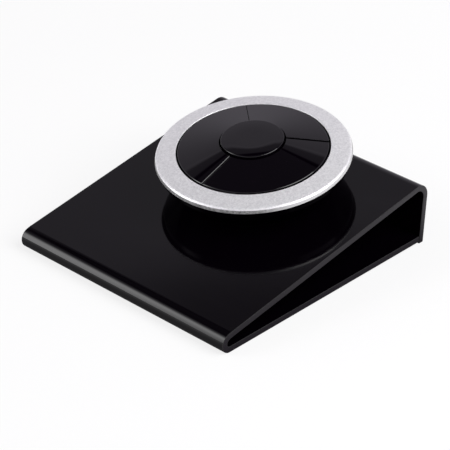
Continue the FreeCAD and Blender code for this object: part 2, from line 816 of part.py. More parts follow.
def make_key_carrier():
    """Inner moulding: plate with key windows and guide holes, cap collar, flange and posts."""
    body = new_unit_body("key_carrier")
    skirt_under = "plate_under - skirt_drop"
    turn_solid(body, [
        ("collar_bore_radius", "plate_under"),
        ("carrier_radius - skirt_wall", "plate_under"),
        ("carrier_radius - skirt_wall", skirt_under),
        ("carrier_radius", skirt_under),
        ("carrier_radius", "ring_under"),
        ("flange_inner_radius", "ring_under"),
        ("flange_inner_radius", "plate_top"),
        ("collar_radius", "plate_top"),
        ("collar_radius", "plate_top + collar_rise"),
        ("collar_bore_radius", "plate_top + collar_rise"),
    ])
    posts = new_sketch(body, "XY_Plane", "board_top")
    for groove in GROOVES:
        draw_circle(posts, *polar("boss_pitch_radius", groove), "post_radius")
    pad(body, posts, "post_height")

    openings = new_sketch(body, "XY_Plane", "plate_under")
    for start, end in KEY_SPANS.values():
        middle = f"({start} + {end}) / 2"
        draw_circle(openings, *polar("key_press_radius", middle),
                    "switch_side / sqrt(2) + window_margin")
        for side in ("-1", "1"):
            pin = f"{middle} + {side} * (({end} - ({start})) / 2 - pin_inset_angle)"
            draw_circle(openings, *polar("key_press_radius", pin), "pin_radius + guide_clearance")
    draw_circle(openings, *polar("led_pitch_radius", "groove_left"), "light_hole_radius")
    pocket(body, openings, "plate_thickness", Reversed=True)

    pilots = new_sketch(body, "XY_Plane", "board_top")
    for groove in GROOVES:
        draw_circle(pilots, *polar("boss_pitch_radius", groove), "screw_radius + screw_bite")
    pocket(body, pilots, "post_height + pilot_depth", Reversed=True)

    peg_hole = draw_circle(new_sketch(body, "XY_Plane", "ring_under"), "peg_pitch_radius", "0",
                           "peg_radius + peg_clearance")
    repeat_round(body, pocket(body, peg_hole, "ring_under - plate_under"), "peg_count")


def make_silver_ring():
    """Trim ring: conical top, rounded shoulder, hollowed underside, six locating pegs."""
    body = new_unit_body("silver_ring")
    lip_radius = "ring_bore_radius + ring_lip_reach"
    shoulder_radius = "ring_radius - ring_side_inset"
    turn_solid(body, [
        ("ring_bore_radius", "ring_lip_under"),
        (lip_radius, "ring_lip_under"),
        (lip_radius, "ring_under"),
        ("ring_radius", "ring_under"),
        (shoulder_radius, "ring_shoulder"),
        ("ring_bore_radius", "ring_crest"),
    ])
    dress_edges(body, "Fillet", "ring_outer_round", circle_at(shoulder_radius, "ring_shoulder"))
    dress_edges(body, "Fillet", "ring_inner_round", circle_at("ring_bore_radius", "ring_crest"))
    turn_cut(body, [
        ("ring_relief_inner", "ring_under"),
        ("ring_relief_outer", "ring_under"),
        ("ring_relief_outer", "ring_under + ring_relief_depth"),
        ("ring_relief_inner", "ring_under + ring_relief_depth"),
    ])
    peg = draw_circle(new_sketch(body, "XY_Plane", "ring_under"), "peg_pitch_radius", "0",
                      "peg_radius")
    repeat_round(body, pad(body, peg, "peg_length", Reversed=True), "peg_count")


# ---------------------------------------------------------------- keys

def groove_point(radius, half_span, side):
    """Point at a radius on the key's flat side, which runs parallel to the groove's middle."""
    angle = f"{side} * (({half_span}) * 1 deg - asin(groove_width / 2 / ({radius})))"
    return f"({radius}) * cos({angle})", f"({radius}) * sin({angle})"


def hollow_out(body, wall):
    """Shell the tip from its lowest face, leaving a wall of even thickness."""
    doc.recompute()
    solid = body.Tip
    heights = [face.CenterOfMass.z for face in solid.Shape.Faces]
    lowest = heights.index(min(heights)) + 1
    hollow = body.newObject("PartDesign::Thickness", body.Label + "_hollow")
    hollow.Base = (solid, [f"Face{lowest}"])
    hollow.Reversed = True
    hollow.setExpression("Value", formula(wall))
    body.Tip = hollow


def make_outer_key(name, start, end):
    """Conical key: a hollow ring sector with a flange, a stem and two snap-in guide pins.

    The key is drawn with its middle on local X, and the body's placement turns it to its place.
    """
    body = new_unit_body(name + "_key", f"({start} + {end}) / 2")
    half_span = f"({end} - ({start})) / 2"
    steepness = "tan(key_slope * 1 deg)"
    plan = draw_outline(new_sketch(body, "XY_Plane", "key_under"), [
        groove_point("key_bore_radius", half_span, "-1") + ("key_bore_radius", -1),
        groove_point("key_radius", half_span, "-1"),
        groove_point("key_radius", half_span, "1") + ("key_radius", 1),
        groove_point("key_bore_radius", half_span, "1"),
    ])
    pad(body, plan, "cap_edge - key_under")

    # All above the cone goes.  The cut is drawn a little past both rims of the key.
    past = "cap_gap"
    turn_cut(body, [
        (f"key_bore_radius - {past}", f"key_crown + {past} * {steepness}"),
        (f"key_radius + {past}", f"key_edge - {past} * {steepness}"),
        (f"key_radius + {past}", "cap_edge + cap_step"),
        (f"key_bore_radius - {past}", "cap_edge + cap_step"),
    ])
    hollow_out(body, "key_wall")

    def corner_at(radius):
        def wanted(edge):
            spot = edge.Vertexes[0].Point
            reach = math.hypot(spot.x, spot.y)
            return is_upright(edge) and abs(reach - number(radius)) < SAME_SIZE
        return wanted

    def on_cone(edge):
        first, last = edge.ParameterRange
        for spot in (edge.valueAt(first), edge.valueAt((first + last) / 2), edge.valueAt(last)):
            inward = number("key_radius") - math.hypot(spot.x, spot.y)
            cone_height = number("key_edge") + inward * number(steepness)
            if abs(spot.z - cone_height) > SAME_SURFACE:
                return False
        return True

    dress_edges(body, "Fillet", "key_outer_corner", corner_at("key_radius"))
    dress_edges(body, "Fillet", "key_inner_corner", corner_at("key_bore_radius"))
    dress_edges(body, "Fillet", "key_edge_round", on_cone)

    turn_solid(body, [
        ("key_radius - key_wall / 2", "key_flange_top - key_flange_thickness"),
        ("key_flange_radius", "key_flange_top - key_flange_thickness"),
        ("key_flange_radius", "key_flange_top"),
        ("key_radius - key_wall / 2", "key_flange_top"),
    ], f"2 * ({half_span} - key_flange_inset_angle)", Midplane=True)

    inside = f"key_edge + (key_radius - key_press_radius) * {steepness} - key_wall / 2"
    stem = draw_circle(new_sketch(body, "XY_Plane", "plunger_top"), "key_press_radius", "0",
                       "stem_radius")
    pad(body, stem, f"{inside} - plunger_top")
    shanks = new_sketch(body, "XY_Plane", "snap_under")
    heads = new_sketch(body, "XY_Plane", "snap_under")
    for side in ("-1", "1"):
        spot = polar("key_press_radius", f"{side} * ({half_span} - pin_inset_angle)")
        draw_circle(shanks, *spot, "pin_radius")
        draw_circle(heads, *spot, "pin_head_radius")
    pad(body, shanks, f"{inside} - snap_under")
    pad(body, heads, "pin_head_rise")


def make_centre_key():
    """Domed cap: an outer skirt round the collar, a guide ring with three snap lugs, a stem."""
    body = new_unit_body("centre_key")
    skirt_bore = "cap_radius - cap_skirt_wall"
    guide_bore = "cap_guide_radius - cap_guide_wall"
    crown = "(cap_radius ^ 2 + cap_dome ^ 2) / (2 * cap_dome)"
    turn_solid(body, [
        ("0", "plunger_top"),
        ("stem_radius", "plunger_top"),
        ("stem_radius", "cap_under"),
        (guide_bore, "cap_under"),
        (guide_bore, "snap_under"),
        ("cap_guide_radius", "snap_under"),
        ("cap_guide_radius", "cap_under"),
        (skirt_bore, "cap_under"),
        (skirt_bore, "cap_edge - cap_skirt"),
        ("cap_radius", "cap_edge - cap_skirt"),
        ("cap_radius", "cap_edge"),
        ("0", "cap_edge + cap_dome", crown, 1),
    ])
    dress_edges(body, "Fillet", "cap_edge_round", circle_at("cap_radius", "cap_edge"))
    lug = draw_outline(new_sketch(body, "XY_Plane", "snap_under"),
                       sector("cap_guide_radius - cap_guide_wall / 2",
                              "cap_guide_radius + cap_lug_reach", "cap_lug_half_angle"))
    repeat_round(body, pad(body, lug, "pin_head_rise"), "lug_count")
    slot = draw_outline(new_sketch(body, "XY_Plane", "snap_under"),
                        sector(f"{guide_bore} - cap_gap", "cap_guide_radius + cap_gap",
                               "cap_slot_half_angle", "180 / lug_count"))
    repeat_round(body, pocket(body, slot, "cap_slot_height", Reversed=True), "lug_count")


# ---------------------------------------------------------------- screws

def make_housing_screws():
    """Three self-tapping screws, head down in the lower shell and biting in the posts."""
    body = new_unit_body("housing_screws")
    head_under = "pad_thickness + screw_recess"
    heads = new_sketch(body, "XY_Plane", head_under)
    shanks = new_sketch(body, "XY_Plane", "screw_head_top")
    slots = new_sketch(body, "XY_Plane", head_under)
    for groove in GROOVES:
        x, y = polar("boss_pitch_radius", groove)
        draw_circle(heads, x, y, "screw_head_radius")
        draw_circle(shanks, x, y, "screw_radius")
        draw_box(slots, x, y, "screw_slot_length", "screw_slot_width")
    pad(body, heads, "screw_head_rise")
    pad(body, shanks, "screw_length")
    pocket(body, slots, "screw_slot_depth", Reversed=True)


# ---------------------------------------------------------------- build, check, export

def check_document():
    """Stop if anything in the document failed, or a piece has no valid solid."""
    for item in doc.Objects:
        if "Invalid" in item.State or "Error" in item.State:
            raise RuntimeError(f"{item.Label} is in state {item.State}")
    for piece in pieces:
        shape = piece.Shape
        if shape.isNull() or not shape.isValid() or not shape.Solids:
            raise RuntimeError(f"{piece.Label} has no valid solid")


def export_pieces():
    """Write each piece to its own STEP file and print its size."""
    os.makedirs("parts", exist_ok=True)
    for piece in pieces:
        piece.Shape.exportStep(f"parts/{piece.Label}.step")
        box = piece.Shape.BoundBox
        volume = sum(solid.Volume for solid in piece.Shape.Solids)
        print(f"{piece.Label:22s} solids {len(piece.Shape.Solids)}  volume {volume:9.1f} mm3"
              f"  {box.XLength:6.1f} x {box.YLength:6.1f} x {box.ZLength:6.1f} mm")


sheet = write_sizes()
make_stand()
make_adhesive_pad()
make_lower_shell()
make_battery_door()
make_coin_cell()
make_battery_holder()
make_contacts()
make_circuit_board()
make_encoder_chip()
make_crystal_can()
make_smoothing_capacitor()
make_loop_antenna()
make_indicator_led()
make_key_carrier()
make_silver_ring()
make_switch("centre", "0", "0")
make_centre_key()
for key_name, (key_start, key_end) in KEY_SPANS.items():
    make_switch(key_name, "key_press_radius", f"({key_start} + {key_end}) / 2")
    make_outer_key(key_name, key_start, key_end)
make_housing_screws()

doc.recompute()
check_document()
export_pieces()
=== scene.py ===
# %% [markdown]
# # A waiter call button gets its looks
#
# The object is a round radio call unit that is taped to a wedge-shaped stand, bent from one
# sheet of black acrylic.  The engineering model is already there: every piece has its real size
# and place, and it moves on its own body.  This lesson gives it its looks.  The pieces that show
# are modelled again with soft edges and clean surfaces for the reflections, because gloss black
# shows every facet, and the pieces inside keep their engineering shape and get a finish.
#
# Lengths are metres, +Z is up, and the front lip of the stand points along -Y.

# %% Load the frame
from math import cos, degrees, hypot, pi, radians, sin, tan

import bmesh
import bpy
from mathutils import Matrix, Vector


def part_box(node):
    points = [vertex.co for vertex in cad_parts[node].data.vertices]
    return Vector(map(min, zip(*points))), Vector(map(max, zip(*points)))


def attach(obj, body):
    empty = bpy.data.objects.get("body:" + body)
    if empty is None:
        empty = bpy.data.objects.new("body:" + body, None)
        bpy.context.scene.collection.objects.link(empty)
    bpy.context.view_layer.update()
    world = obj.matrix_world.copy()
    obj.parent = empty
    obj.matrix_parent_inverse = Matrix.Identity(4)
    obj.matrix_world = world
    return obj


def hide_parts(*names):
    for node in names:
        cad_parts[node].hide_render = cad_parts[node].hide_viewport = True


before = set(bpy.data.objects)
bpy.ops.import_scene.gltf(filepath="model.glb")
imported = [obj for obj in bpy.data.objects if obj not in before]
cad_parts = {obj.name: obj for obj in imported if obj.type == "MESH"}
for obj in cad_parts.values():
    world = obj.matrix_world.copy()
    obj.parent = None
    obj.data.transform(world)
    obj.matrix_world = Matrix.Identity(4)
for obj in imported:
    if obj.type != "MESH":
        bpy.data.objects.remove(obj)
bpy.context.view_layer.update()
MM = 0.001

# %% [markdown]
# ## Measures of the stand
#
# The stand's width and depth come from the loaded model.  The bend radii and the slope are the
# ones a maker would read off the drawing.  The sheet's floor rises by less than half a degree
# and ends in a small gap before the leg.  The call unit sits some way up the slope from its
# foot, so its own pieces are modelled upright and dropped on to the slope at the end, and their
# heights count from the upper face of the sheet.

# %% Sizes of the bent sheet
stand_low, stand_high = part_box("acrylic_stand")
SHEET = 3.0 * MM
SLOPE = radians(10)
FLOOR_TILT = radians(0.45)
LIP_RADIUS = 5.0 * MM
BEND_RADIUS = 7.5 * MM
FLOOR_GAP = 0.4 * MM
SAWN_BEVEL = 0.3 * MM
SEAT_DISTANCE = 87.7 * MM
UP_THE_SLOPE = Vector((0, cos(SLOPE), sin(SLOPE)))
OFF_THE_SLOPE = Vector((0, -sin(SLOPE), cos(SLOPE)))
slope_foot = Vector((0, stand_low.y + LIP_RADIUS, LIP_RADIUS)) + LIP_RADIUS * OFF_THE_SLOPE
SEAT = slope_foot + SEAT_DISTANCE * UP_THE_SLOPE
print("unit sits at", [round(v / MM, 2) for v in SEAT], "on a slope of", round(degrees(SLOPE)))

# %% [markdown]
# ## How the lip eases into the slope
#
# A heated sheet doesn't go from a tight bend into a flat face at once.  So the lip turns on a
# tight radius, and its last few degrees turn on a wide one, which is worked out so that it ends
# in the plane of the slope.  A gloss surface shows the difference: the light line along the lip
# gets a soft upper edge.

# %% Work out the wide part of the lip's bend
TIGHT_RADIUS = 4.9 * MM
EASE = radians(13)
LIP_AXIS = Vector((0, stand_low.y + TIGHT_RADIUS, TIGHT_RADIUS))
OFF_THE_EASE = Vector((0, -sin(SLOPE + EASE), cos(SLOPE + EASE)))
gap_to_slope = (slope_foot - LIP_AXIS).dot(OFF_THE_SLOPE) - TIGHT_RADIUS
WIDE_RADIUS = TIGHT_RADIUS + gap_to_slope / (1 - cos(EASE))
WIDE_AXIS = LIP_AXIS - (WIDE_RADIUS - TIGHT_RADIUS) * OFF_THE_EASE
slope_start = WIDE_AXIS + WIDE_RADIUS * OFF_THE_SLOPE
print("the lip turns on", TIGHT_RADIUS / MM, "mm and eases out on", round(WIDE_RADIUS / MM, 1), "mm")

# %% [markdown]
# ## The camera
#
# A long lens looks from the front right and a little above, so that the slope, the round unit
# and the open side of the wedge all show, and it leans by less than three degrees.  The
# direction is given as a compass turn and a height above the horizon, so the camera can be
# placed by its target and its distance.

# %% Place the camera
TARGET = Vector((1.8, -2.24, 12.5)) * MM
VIEW_TURN, VIEW_RISE, VIEW_ROLL = radians(40.91), radians(29.90), radians(2.67)
VIEW_DISTANCE = 975.9 * MM
LENS = 169.53
backwards = Vector((sin(VIEW_TURN) * cos(VIEW_RISE), -cos(VIEW_TURN) * cos(VIEW_RISE), sin(VIEW_RISE)))
level_right = (-backwards).cross(Vector((0, 0, 1))).normalized()
level_up = backwards.cross(level_right)
right = level_right * cos(VIEW_ROLL) + level_up * sin(VIEW_ROLL)
up = level_up * cos(VIEW_ROLL) - level_right * sin(VIEW_ROLL)
camera = bpy.data.objects.new("camera", bpy.data.cameras.new("camera"))
bpy.context.collection.objects.link(camera)
camera.data.lens = LENS
camera.data.clip_start, camera.data.clip_end = 0.05, 50
turn = Matrix((right, up, backwards)).transposed().to_4x4()
camera.matrix_world = Matrix.Translation(TARGET + backwards * VIEW_DISTANCE) @ turn
bpy.context.scene.camera = camera
print("camera at", [round(v, 3) for v in camera.location])

# %% [markdown]
# ## Tools for modelling by hand
#
# The next helpers do what the hands do in Edit Mode: go in and out of it, and pick what is
# selected by its place.  Picking in code uses a small test on each edge.

# %% Pick by place
SLACK = 0.01 * MM


def only(piece):
    """Select one object and make it active."""
    bpy.ops.object.select_all(action="DESELECT")
    piece.select_set(True)
    bpy.context.view_layer.objects.active = piece


def edit(piece):
    only(piece)
    bpy.ops.object.mode_set(mode="EDIT")


def leave_edit():
    bpy.ops.object.mode_set(mode="OBJECT")


def pick_edges(test):
    """In Edit Mode, select the edges that pass a test, and count them."""
    bpy.ops.mesh.select_mode(type="EDGE")
    bpy.ops.mesh.select_all(action="DESELECT")
    data = bpy.context.edit_object.data
    mesh = bmesh.from_edit_mesh(data)
    chosen = [edge for edge in mesh.edges if test(edge)]
    for edge in chosen:
        edge.select_set(True)
    mesh.select_flush_mode()
    bmesh.update_edit_mesh(data)
    return len(chosen)


def near(value, goal, slack=SLACK):
    return abs(value - goal) < slack


print("helpers for Edit Mode are ready")

# %% [markdown]
# ## Tools that finish a piece
#
# Every piece ends in the same three steps: its shading is smoothed, it is dropped on to the
# slope if it belongs to the call unit, and it tells its size.  The place goes into the mesh
# itself, because each piece has to sit at the origin, unturned, to ride on its body.

# %% Shade, tilt and tell
HARD_EDGE = radians(35)


def shade(piece):
    """Smooth shading that keeps flat faces flat and edges above an angle hard."""
    only(piece)
    bpy.ops.object.shade_smooth_by_angle(angle=HARD_EDGE)
    weigh = piece.modifiers.new("weigh", "WEIGHTED_NORMAL")
    weigh.keep_sharp = True
    bpy.ops.object.modifier_apply(modifier=weigh.name)


def tilt_on_slope(piece):
    """Move a piece that was modelled upright on to the slope, with its place in its mesh."""
    only(piece)
    piece.matrix_world = Matrix.Translation(SEAT) @ Matrix.Rotation(SLOPE, 4, "X")
    bpy.ops.object.transform_apply(location=True, rotation=True, scale=True)


def tell(piece):
    faces = len(piece.data.polygons)
    print(f"{piece.name}: {faces} faces, {[round(v / MM, 1) for v in piece.dimensions]} mm")


print("helpers that finish a piece are ready")

# %% [markdown]
# ## The stand: bending a sheet
#
# In the workshop a flat sheet is heated along two lines and folded.  The same is done here:
# a plane is the floor's underside, its front edge is spun round the lip, first on the tight
# radius and then on the wide one, pulled up the slope, spun round the rear bend and pulled down
# into the leg.  Solidify then gives the sheet its 3 mm, and a small bevel breaks the sawn edges.

# %% Lay the flat sheet
SPOT_SLACK = 0.05 * MM


def end_edge(spot):
    """A test for the free edge of the sheet that crosses it at a spot in the side view."""
    def test(edge):
        places = [vertex.co for vertex in edge.verts]
        return all(hypot(p.y - spot.y, p.z - spot.z) < SPOT_SLACK for p in places)
    return test


def lay_floor_sheet(front):
    """A plane for the floor's underside, from a front spot back to a gap before the leg."""
    floor_end = stand_high.y - SHEET - FLOOR_GAP
    length = (floor_end - front.y) / cos(FLOOR_TILT)
    bpy.ops.object.select_all(action="DESELECT")
    bpy.ops.mesh.primitive_plane_add(size=1)
    piece = bpy.context.object
    piece.name = "bent_sheet"
    piece.dimensions = (stand_high.x - stand_low.x, length, 0)
    piece.rotation_euler.x = FLOOR_TILT
    piece.location = front + length / 2 * Vector((0, cos(FLOOR_TILT), sin(FLOOR_TILT)))
    bpy.ops.object.transform_apply(location=True, rotation=True, scale=True)
    return piece


lip_foot = LIP_AXIS + TIGHT_RADIUS * Vector((0, sin(FLOOR_TILT), -cos(FLOOR_TILT)))
stand_piece = lay_floor_sheet(lip_foot)
tell(stand_piece)

# %% Bend it into the stand
BEND_STEPS = 40
EASE_STEPS = 8
WELD = 0.001 * MM


def bend_stand(piece):
    edit(piece)
    pick_edges(end_edge(lip_foot))
    lip_turn = pi + FLOOR_TILT - SLOPE - EASE
    bpy.ops.mesh.spin(steps=BEND_STEPS, angle=lip_turn, center=LIP_AXIS, axis=(1, 0, 0))
    pick_edges(end_edge(LIP_AXIS + TIGHT_RADIUS * OFF_THE_EASE))
    bpy.ops.mesh.spin(steps=EASE_STEPS, angle=EASE, center=WIDE_AXIS, axis=(1, 0, 0))
    bend_axis = Vector((0, stand_high.y - BEND_RADIUS, 0))
    slope_run = (bend_axis.y - BEND_RADIUS * sin(SLOPE) - slope_start.y) / cos(SLOPE)
    slope_end = slope_start + slope_run * UP_THE_SLOPE
    bend_axis.z = slope_end.z - BEND_RADIUS * cos(SLOPE)
    pick_edges(end_edge(slope_start))
    bpy.ops.mesh.extrude_edges_move(TRANSFORM_OT_translate={"value": slope_end - slope_start})
    pick_edges(end_edge(slope_end))
    bpy.ops.mesh.spin(steps=BEND_STEPS, angle=pi / 2 + SLOPE, center=bend_axis, axis=(1, 0, 0))
    leg_top = Vector((0, stand_high.y, bend_axis.z))
    pick_edges(end_edge(leg_top))
    bpy.ops.mesh.extrude_edges_move(TRANSFORM_OT_translate={"value": (0, 0, -leg_top.z)})
    bpy.ops.mesh.select_all(action="SELECT")
    bpy.ops.mesh.remove_doubles(threshold=WELD)
    bpy.ops.mesh.normals_make_consistent(inside=False)
    leave_edit()


bend_stand(stand_piece)
tell(stand_piece)

# %% Thicken the sheet and break its sawn edges
SQUARE_EDGE = radians(60)


def is_square(edge):
    """A test for edges at which two faces meet at about a right angle."""
    return edge.calc_face_angle(0) > SQUARE_EDGE


def thicken_stand(piece):
    only(piece)
    top_faces = [face for face in piece.data.polygons if face.center.z > 2 * LIP_RADIUS]
    outward = sum(face.normal.z for face in top_faces) > 0
    if not outward:
        piece.data.flip_normals()
    wall = piece.modifiers.new("wall", "SOLIDIFY")
    wall.thickness = SHEET
    wall.offset = -1
    wall.use_even_offset = True
    bpy.ops.object.modifier_apply(modifier=wall.name)
    edit(piece)
    broken = pick_edges(is_square)
    bpy.ops.mesh.bevel(offset=SAWN_BEVEL, segments=2, affect="EDGES", clamp_overlap=True)
    leave_edit()
    print("sawn edges broken:", broken)


thicken_stand(stand_piece)
shade(stand_piece)
tell(stand_piece)

# %% [markdown]
# ## Turned pieces
#
# Ring, lower shell, cap and the blank of the keys are round, so each starts as a circle of
# vertices that is pulled from corner to corner of its profile and resized on the way, as clay is
# drawn up on a wheel.
# A profile that closes on itself is bridged at the end, and one that ends on the axis is merged
# into a pole.  Rounded edges are bevelled afterwards, each loop with its own size.

# %% Draw a circle along a profile, and round its edges
ROUND_STEPS = 192


def draw_up(name, corners, closed=True):
    """Pull a circle along (radius, height) corners; a last radius of 0 closes at a pole."""
    (radius, height), *rest = corners
    bpy.ops.object.select_all(action="DESELECT")
    bpy.ops.mesh.primitive_circle_add(vertices=ROUND_STEPS, radius=radius, location=(0, 0, height))
    piece = bpy.context.object
    piece.name = name
    bpy.ops.object.transform_apply(location=True, rotation=True, scale=True)
    edit(piece)
    bpy.ops.mesh.select_mode(type="EDGE")
    for next_radius, next_height in rest:
        bpy.ops.mesh.extrude_edges_move(TRANSFORM_OT_translate={"value": (0, 0, next_height - height)})
        if next_radius == 0:
            bpy.ops.mesh.merge(type="CENTER")
            break
        share = next_radius / radius
        bpy.ops.transform.resize(value=(share, share, 1), center_override=(0, 0, 0))
        radius, height = next_radius, next_height
    if closed:
        pick_edges(lambda edge: edge.is_boundary)
        bpy.ops.mesh.bridge_edge_loops()
    bpy.ops.mesh.select_all(action="SELECT")
    bpy.ops.mesh.normals_make_consistent(inside=False)
    leave_edit()
    return piece


def round_loop(piece, radius, height, size, segments=5):
    """Round the loop of edges at one radius and height."""
    edit(piece)
    count = pick_edges(lambda edge: all(
        near(hypot(v.co.x, v.co.y), radius) and near(v.co.z, height) for v in edge.verts))
    bpy.ops.mesh.bevel(offset=size, segments=segments, affect="EDGES", clamp_overlap=True)
    leave_edit()
    print(f"{piece.name}: rounded {count} edges at radius {radius / MM:.1f} by {size / MM:.2f} mm")


print("helpers for turned pieces are ready")

# %% [markdown]
# ## The silver ring
#
# A painted trim ring: its top falls away outwards like a very flat cone, and the shoulder is
# well rounded and catches a bright line.  Underneath it is hollowed so that the moulding keeps
# an even wall, and a step inside its bore leaves room for what holds the keys down.  The paint
# covers the top, and underside and bore stay bare black.  The side gets a dark silver as painted
# shade, which turns paler towards the right-hand end as painted light.  So the ring has three
# slots for finishes, and a face gets one by the way it faces and where it lies.

# %% Model the ring
RING_BORE = 35.75 * MM
RING_LIP_RADIUS = 38.0 * MM
RING_HOLLOW_INNER = 42.5 * MM
RING_HOLLOW_OUTER = 44.3 * MM
RING_SHOULDER_RADIUS = 45.3 * MM
RING_RADIUS = 45.8 * MM
RING_UNDER = 16.6 * MM
RING_HOLLOW_TOP = 17.8 * MM
RING_SHOULDER = 18.7 * MM
RING_LIP_UNDER = 19.2 * MM
RING_CREST = 20.3 * MM
RING_SHOULDER_ROUND = 1.05 * MM
RING_BORE_ROUND = 0.6 * MM
RING_FOOT_ROUND = 0.15 * MM
ring_piece = draw_up("trim_ring", [
    (RING_BORE, RING_LIP_UNDER),
    (RING_LIP_RADIUS, RING_LIP_UNDER),
    (RING_LIP_RADIUS, RING_UNDER),
    (RING_HOLLOW_INNER, RING_UNDER),
    (RING_HOLLOW_INNER, RING_HOLLOW_TOP),
    (RING_HOLLOW_OUTER, RING_HOLLOW_TOP),
    (RING_HOLLOW_OUTER, RING_UNDER),
    (RING_RADIUS, RING_UNDER),
    (RING_SHOULDER_RADIUS, RING_SHOULDER),
    (RING_BORE, RING_CREST),
])
round_loop(ring_piece, RING_SHOULDER_RADIUS, RING_SHOULDER, RING_SHOULDER_ROUND, segments=8)
round_loop(ring_piece, RING_BORE, RING_CREST, RING_BORE_ROUND)
round_loop(ring_piece, RING_RADIUS, RING_UNDER, RING_FOOT_ROUND, segments=2)

# %% Share out the ring's faces among its three finishes
PAINTED, BARE, SHADED_SIDE = 0, 1, 2
STEEP = 0.5
# Side faces below the shoulder get the silver with painted shade and painted light.
for face in ring_piece.data.polygons:
    underside = face.normal.z < -STEEP
    bore = near(hypot(*face.center.xy), RING_BORE, 2 * SLACK)
    side = abs(face.normal.z) <= STEEP and not bore and face.center.z < RING_SHOULDER
    face.material_index = BARE if underside or bore else SHADED_SIDE if side else PAINTED
shade(ring_piece)
tilt_on_slope(ring_piece)
bare_faces = [face for face in ring_piece.data.polygons if face.material_index == BARE]
print("ring faces left unpainted:", len(bare_faces))
tell(ring_piece)

# %% [markdown]
# ## The lower shell
#
# A tapered bowl of gloss black plastic under the ring.  Only a thin band and the shade below it
# are seen, but its edges catch faint arcs of light, so they get their real rounding.  It is open
# at the top, and the battery opening goes through its floor.

# %% Model the lower shell
BATTERY_OPENING = 14.8 * MM
BOWL_BASE = 33.9 * MM
BOWL_RIM = 44.3 * MM
BOWL_MOUTH = 44.6 * MM
BOWL_INNER_BASE = 33.65 * MM
BOWL_INNER_RIM = 42.3 * MM
PAD_TOP = 1.0 * MM
FLOOR_TOP = 3.0 * MM
RIM_HEIGHT = 12.9 * MM
SHELL_TOP = 16.3 * MM
BOWL_BASE_ROUND = 0.55 * MM
BOWL_RIM_ROUND = 0.4 * MM
BOWL_MOUTH_ROUND = 0.2 * MM
shell_piece = draw_up("bowl", [
    (BATTERY_OPENING, PAD_TOP),
    (BOWL_BASE, PAD_TOP),
    (BOWL_RIM, RIM_HEIGHT),
    (BOWL_MOUTH, SHELL_TOP),
    (BOWL_INNER_RIM, SHELL_TOP),
    (BOWL_INNER_RIM, RIM_HEIGHT),
    (BOWL_INNER_BASE, FLOOR_TOP),
    (BATTERY_OPENING, FLOOR_TOP),
])
round_loop(shell_piece, BOWL_BASE, PAD_TOP, BOWL_BASE_ROUND)
round_loop(shell_piece, BOWL_RIM, RIM_HEIGHT, BOWL_RIM_ROUND, segments=3)
round_loop(shell_piece, BOWL_MOUTH, SHELL_TOP, BOWL_MOUTH_ROUND, segments=3)
shade(shell_piece)
tilt_on_slope(shell_piece)
tell(shell_piece)

# %% [markdown]
# ## The cap
#
# The fourth button is a round cap.  Its middle is flat and mirrors one even patch of ceiling.
# Outside that the top falls away in a shallow curve, which bends the reflection towards the rim,
# and the rim is rounded just enough to draw a thin line of light.  Below, the cap is a cup with
# a thin skirt that dips into the keys' bore.

# %% Model the cap
CAP_RADIUS = 14.65 * MM
CAP_CROWN = 26.0 * MM
CAP_FLAT = 6.0 * MM
CAP_CURVE = 100.0 * MM
CAP_WALL = 1.05 * MM
CAP_SKIN = 1.7 * MM
CAP_SKIRT = 5.6 * MM
CAP_ROUND = 0.3 * MM
DOME_SHARES = (0.955, 0.88, 0.79, 0.72, 0.64, 0.56, 0.48, 0.41, 0.25, 0.1)


def dome_height(radius):
    """The crown's height inside the flat, and a parabola of one radius of curve outside it."""
    return CAP_CROWN - max(radius - CAP_FLAT, 0) ** 2 / (2 * CAP_CURVE)


cap_edge = dome_height(CAP_RADIUS)
cap_piece = draw_up("cap", [
    (CAP_RADIUS - CAP_WALL, cap_edge - CAP_SKIN),
    (CAP_RADIUS - CAP_WALL, cap_edge - CAP_SKIRT),
    (CAP_RADIUS, cap_edge - CAP_SKIRT),
    (CAP_RADIUS, cap_edge),
    *[(share * CAP_RADIUS, dome_height(share * CAP_RADIUS)) for share in DOME_SHARES],
    (0, CAP_CROWN),
], closed=False)
tell(cap_piece)

# %% Close the cap from below and round its rim
edit(cap_piece)
pick_edges(lambda edge: edge.is_boundary)
bpy.ops.mesh.edge_face_add()
bpy.ops.mesh.inset(thickness=(CAP_RADIUS - CAP_WALL) / 2)
bpy.ops.mesh.select_all(action="SELECT")
bpy.ops.mesh.normals_make_consistent(inside=False)
leave_edit()
round_loop(cap_piece, CAP_RADIUS, cap_edge, CAP_ROUND)
shade(cap_piece)
tilt_on_slope(cap_piece)
tell(cap_piece)

# %% [markdown]
# ## The three keys
#
# The keys share one cone, parted by three grooves with parallel sides.  So one ring is drawn up
# first, and its outer edge and its bore are rounded while they are still whole circles.  Each
# key is a copy of it, sawn off along a groove at either end.  The shortest edge that a bevel
# meets holds it back everywhere, and the corners have very short ones, so the saw's edge is
# rounded as with a file instead: each stroke cuts a narrow flat, a little steeper than the last.
# The corners are rounded in plan at the end.

# %% Draw the ring that the keys are cut from
KEY_RADIUS = 35.0 * MM
KEY_BORE = 15.4 * MM
KEY_UNDER = 17.4 * MM
KEY_EDGE = 20.5 * MM
KEY_SLOPE = radians(11.4)
KEY_ROUND = 0.45 * MM
KEY_BORE_ROUND = 0.15 * MM
key_crown = KEY_EDGE + (KEY_RADIUS - KEY_BORE) * tan(KEY_SLOPE)
key_blank = draw_up("key_blank", [
    (KEY_BORE, KEY_UNDER),
    (KEY_RADIUS, KEY_UNDER),
    (KEY_RADIUS, KEY_EDGE),
    (KEY_BORE, key_crown),
])
round_loop(key_blank, KEY_RADIUS, KEY_EDGE, KEY_ROUND, segments=4)
round_loop(key_blank, KEY_BORE, key_crown, KEY_BORE_ROUND, segments=4)

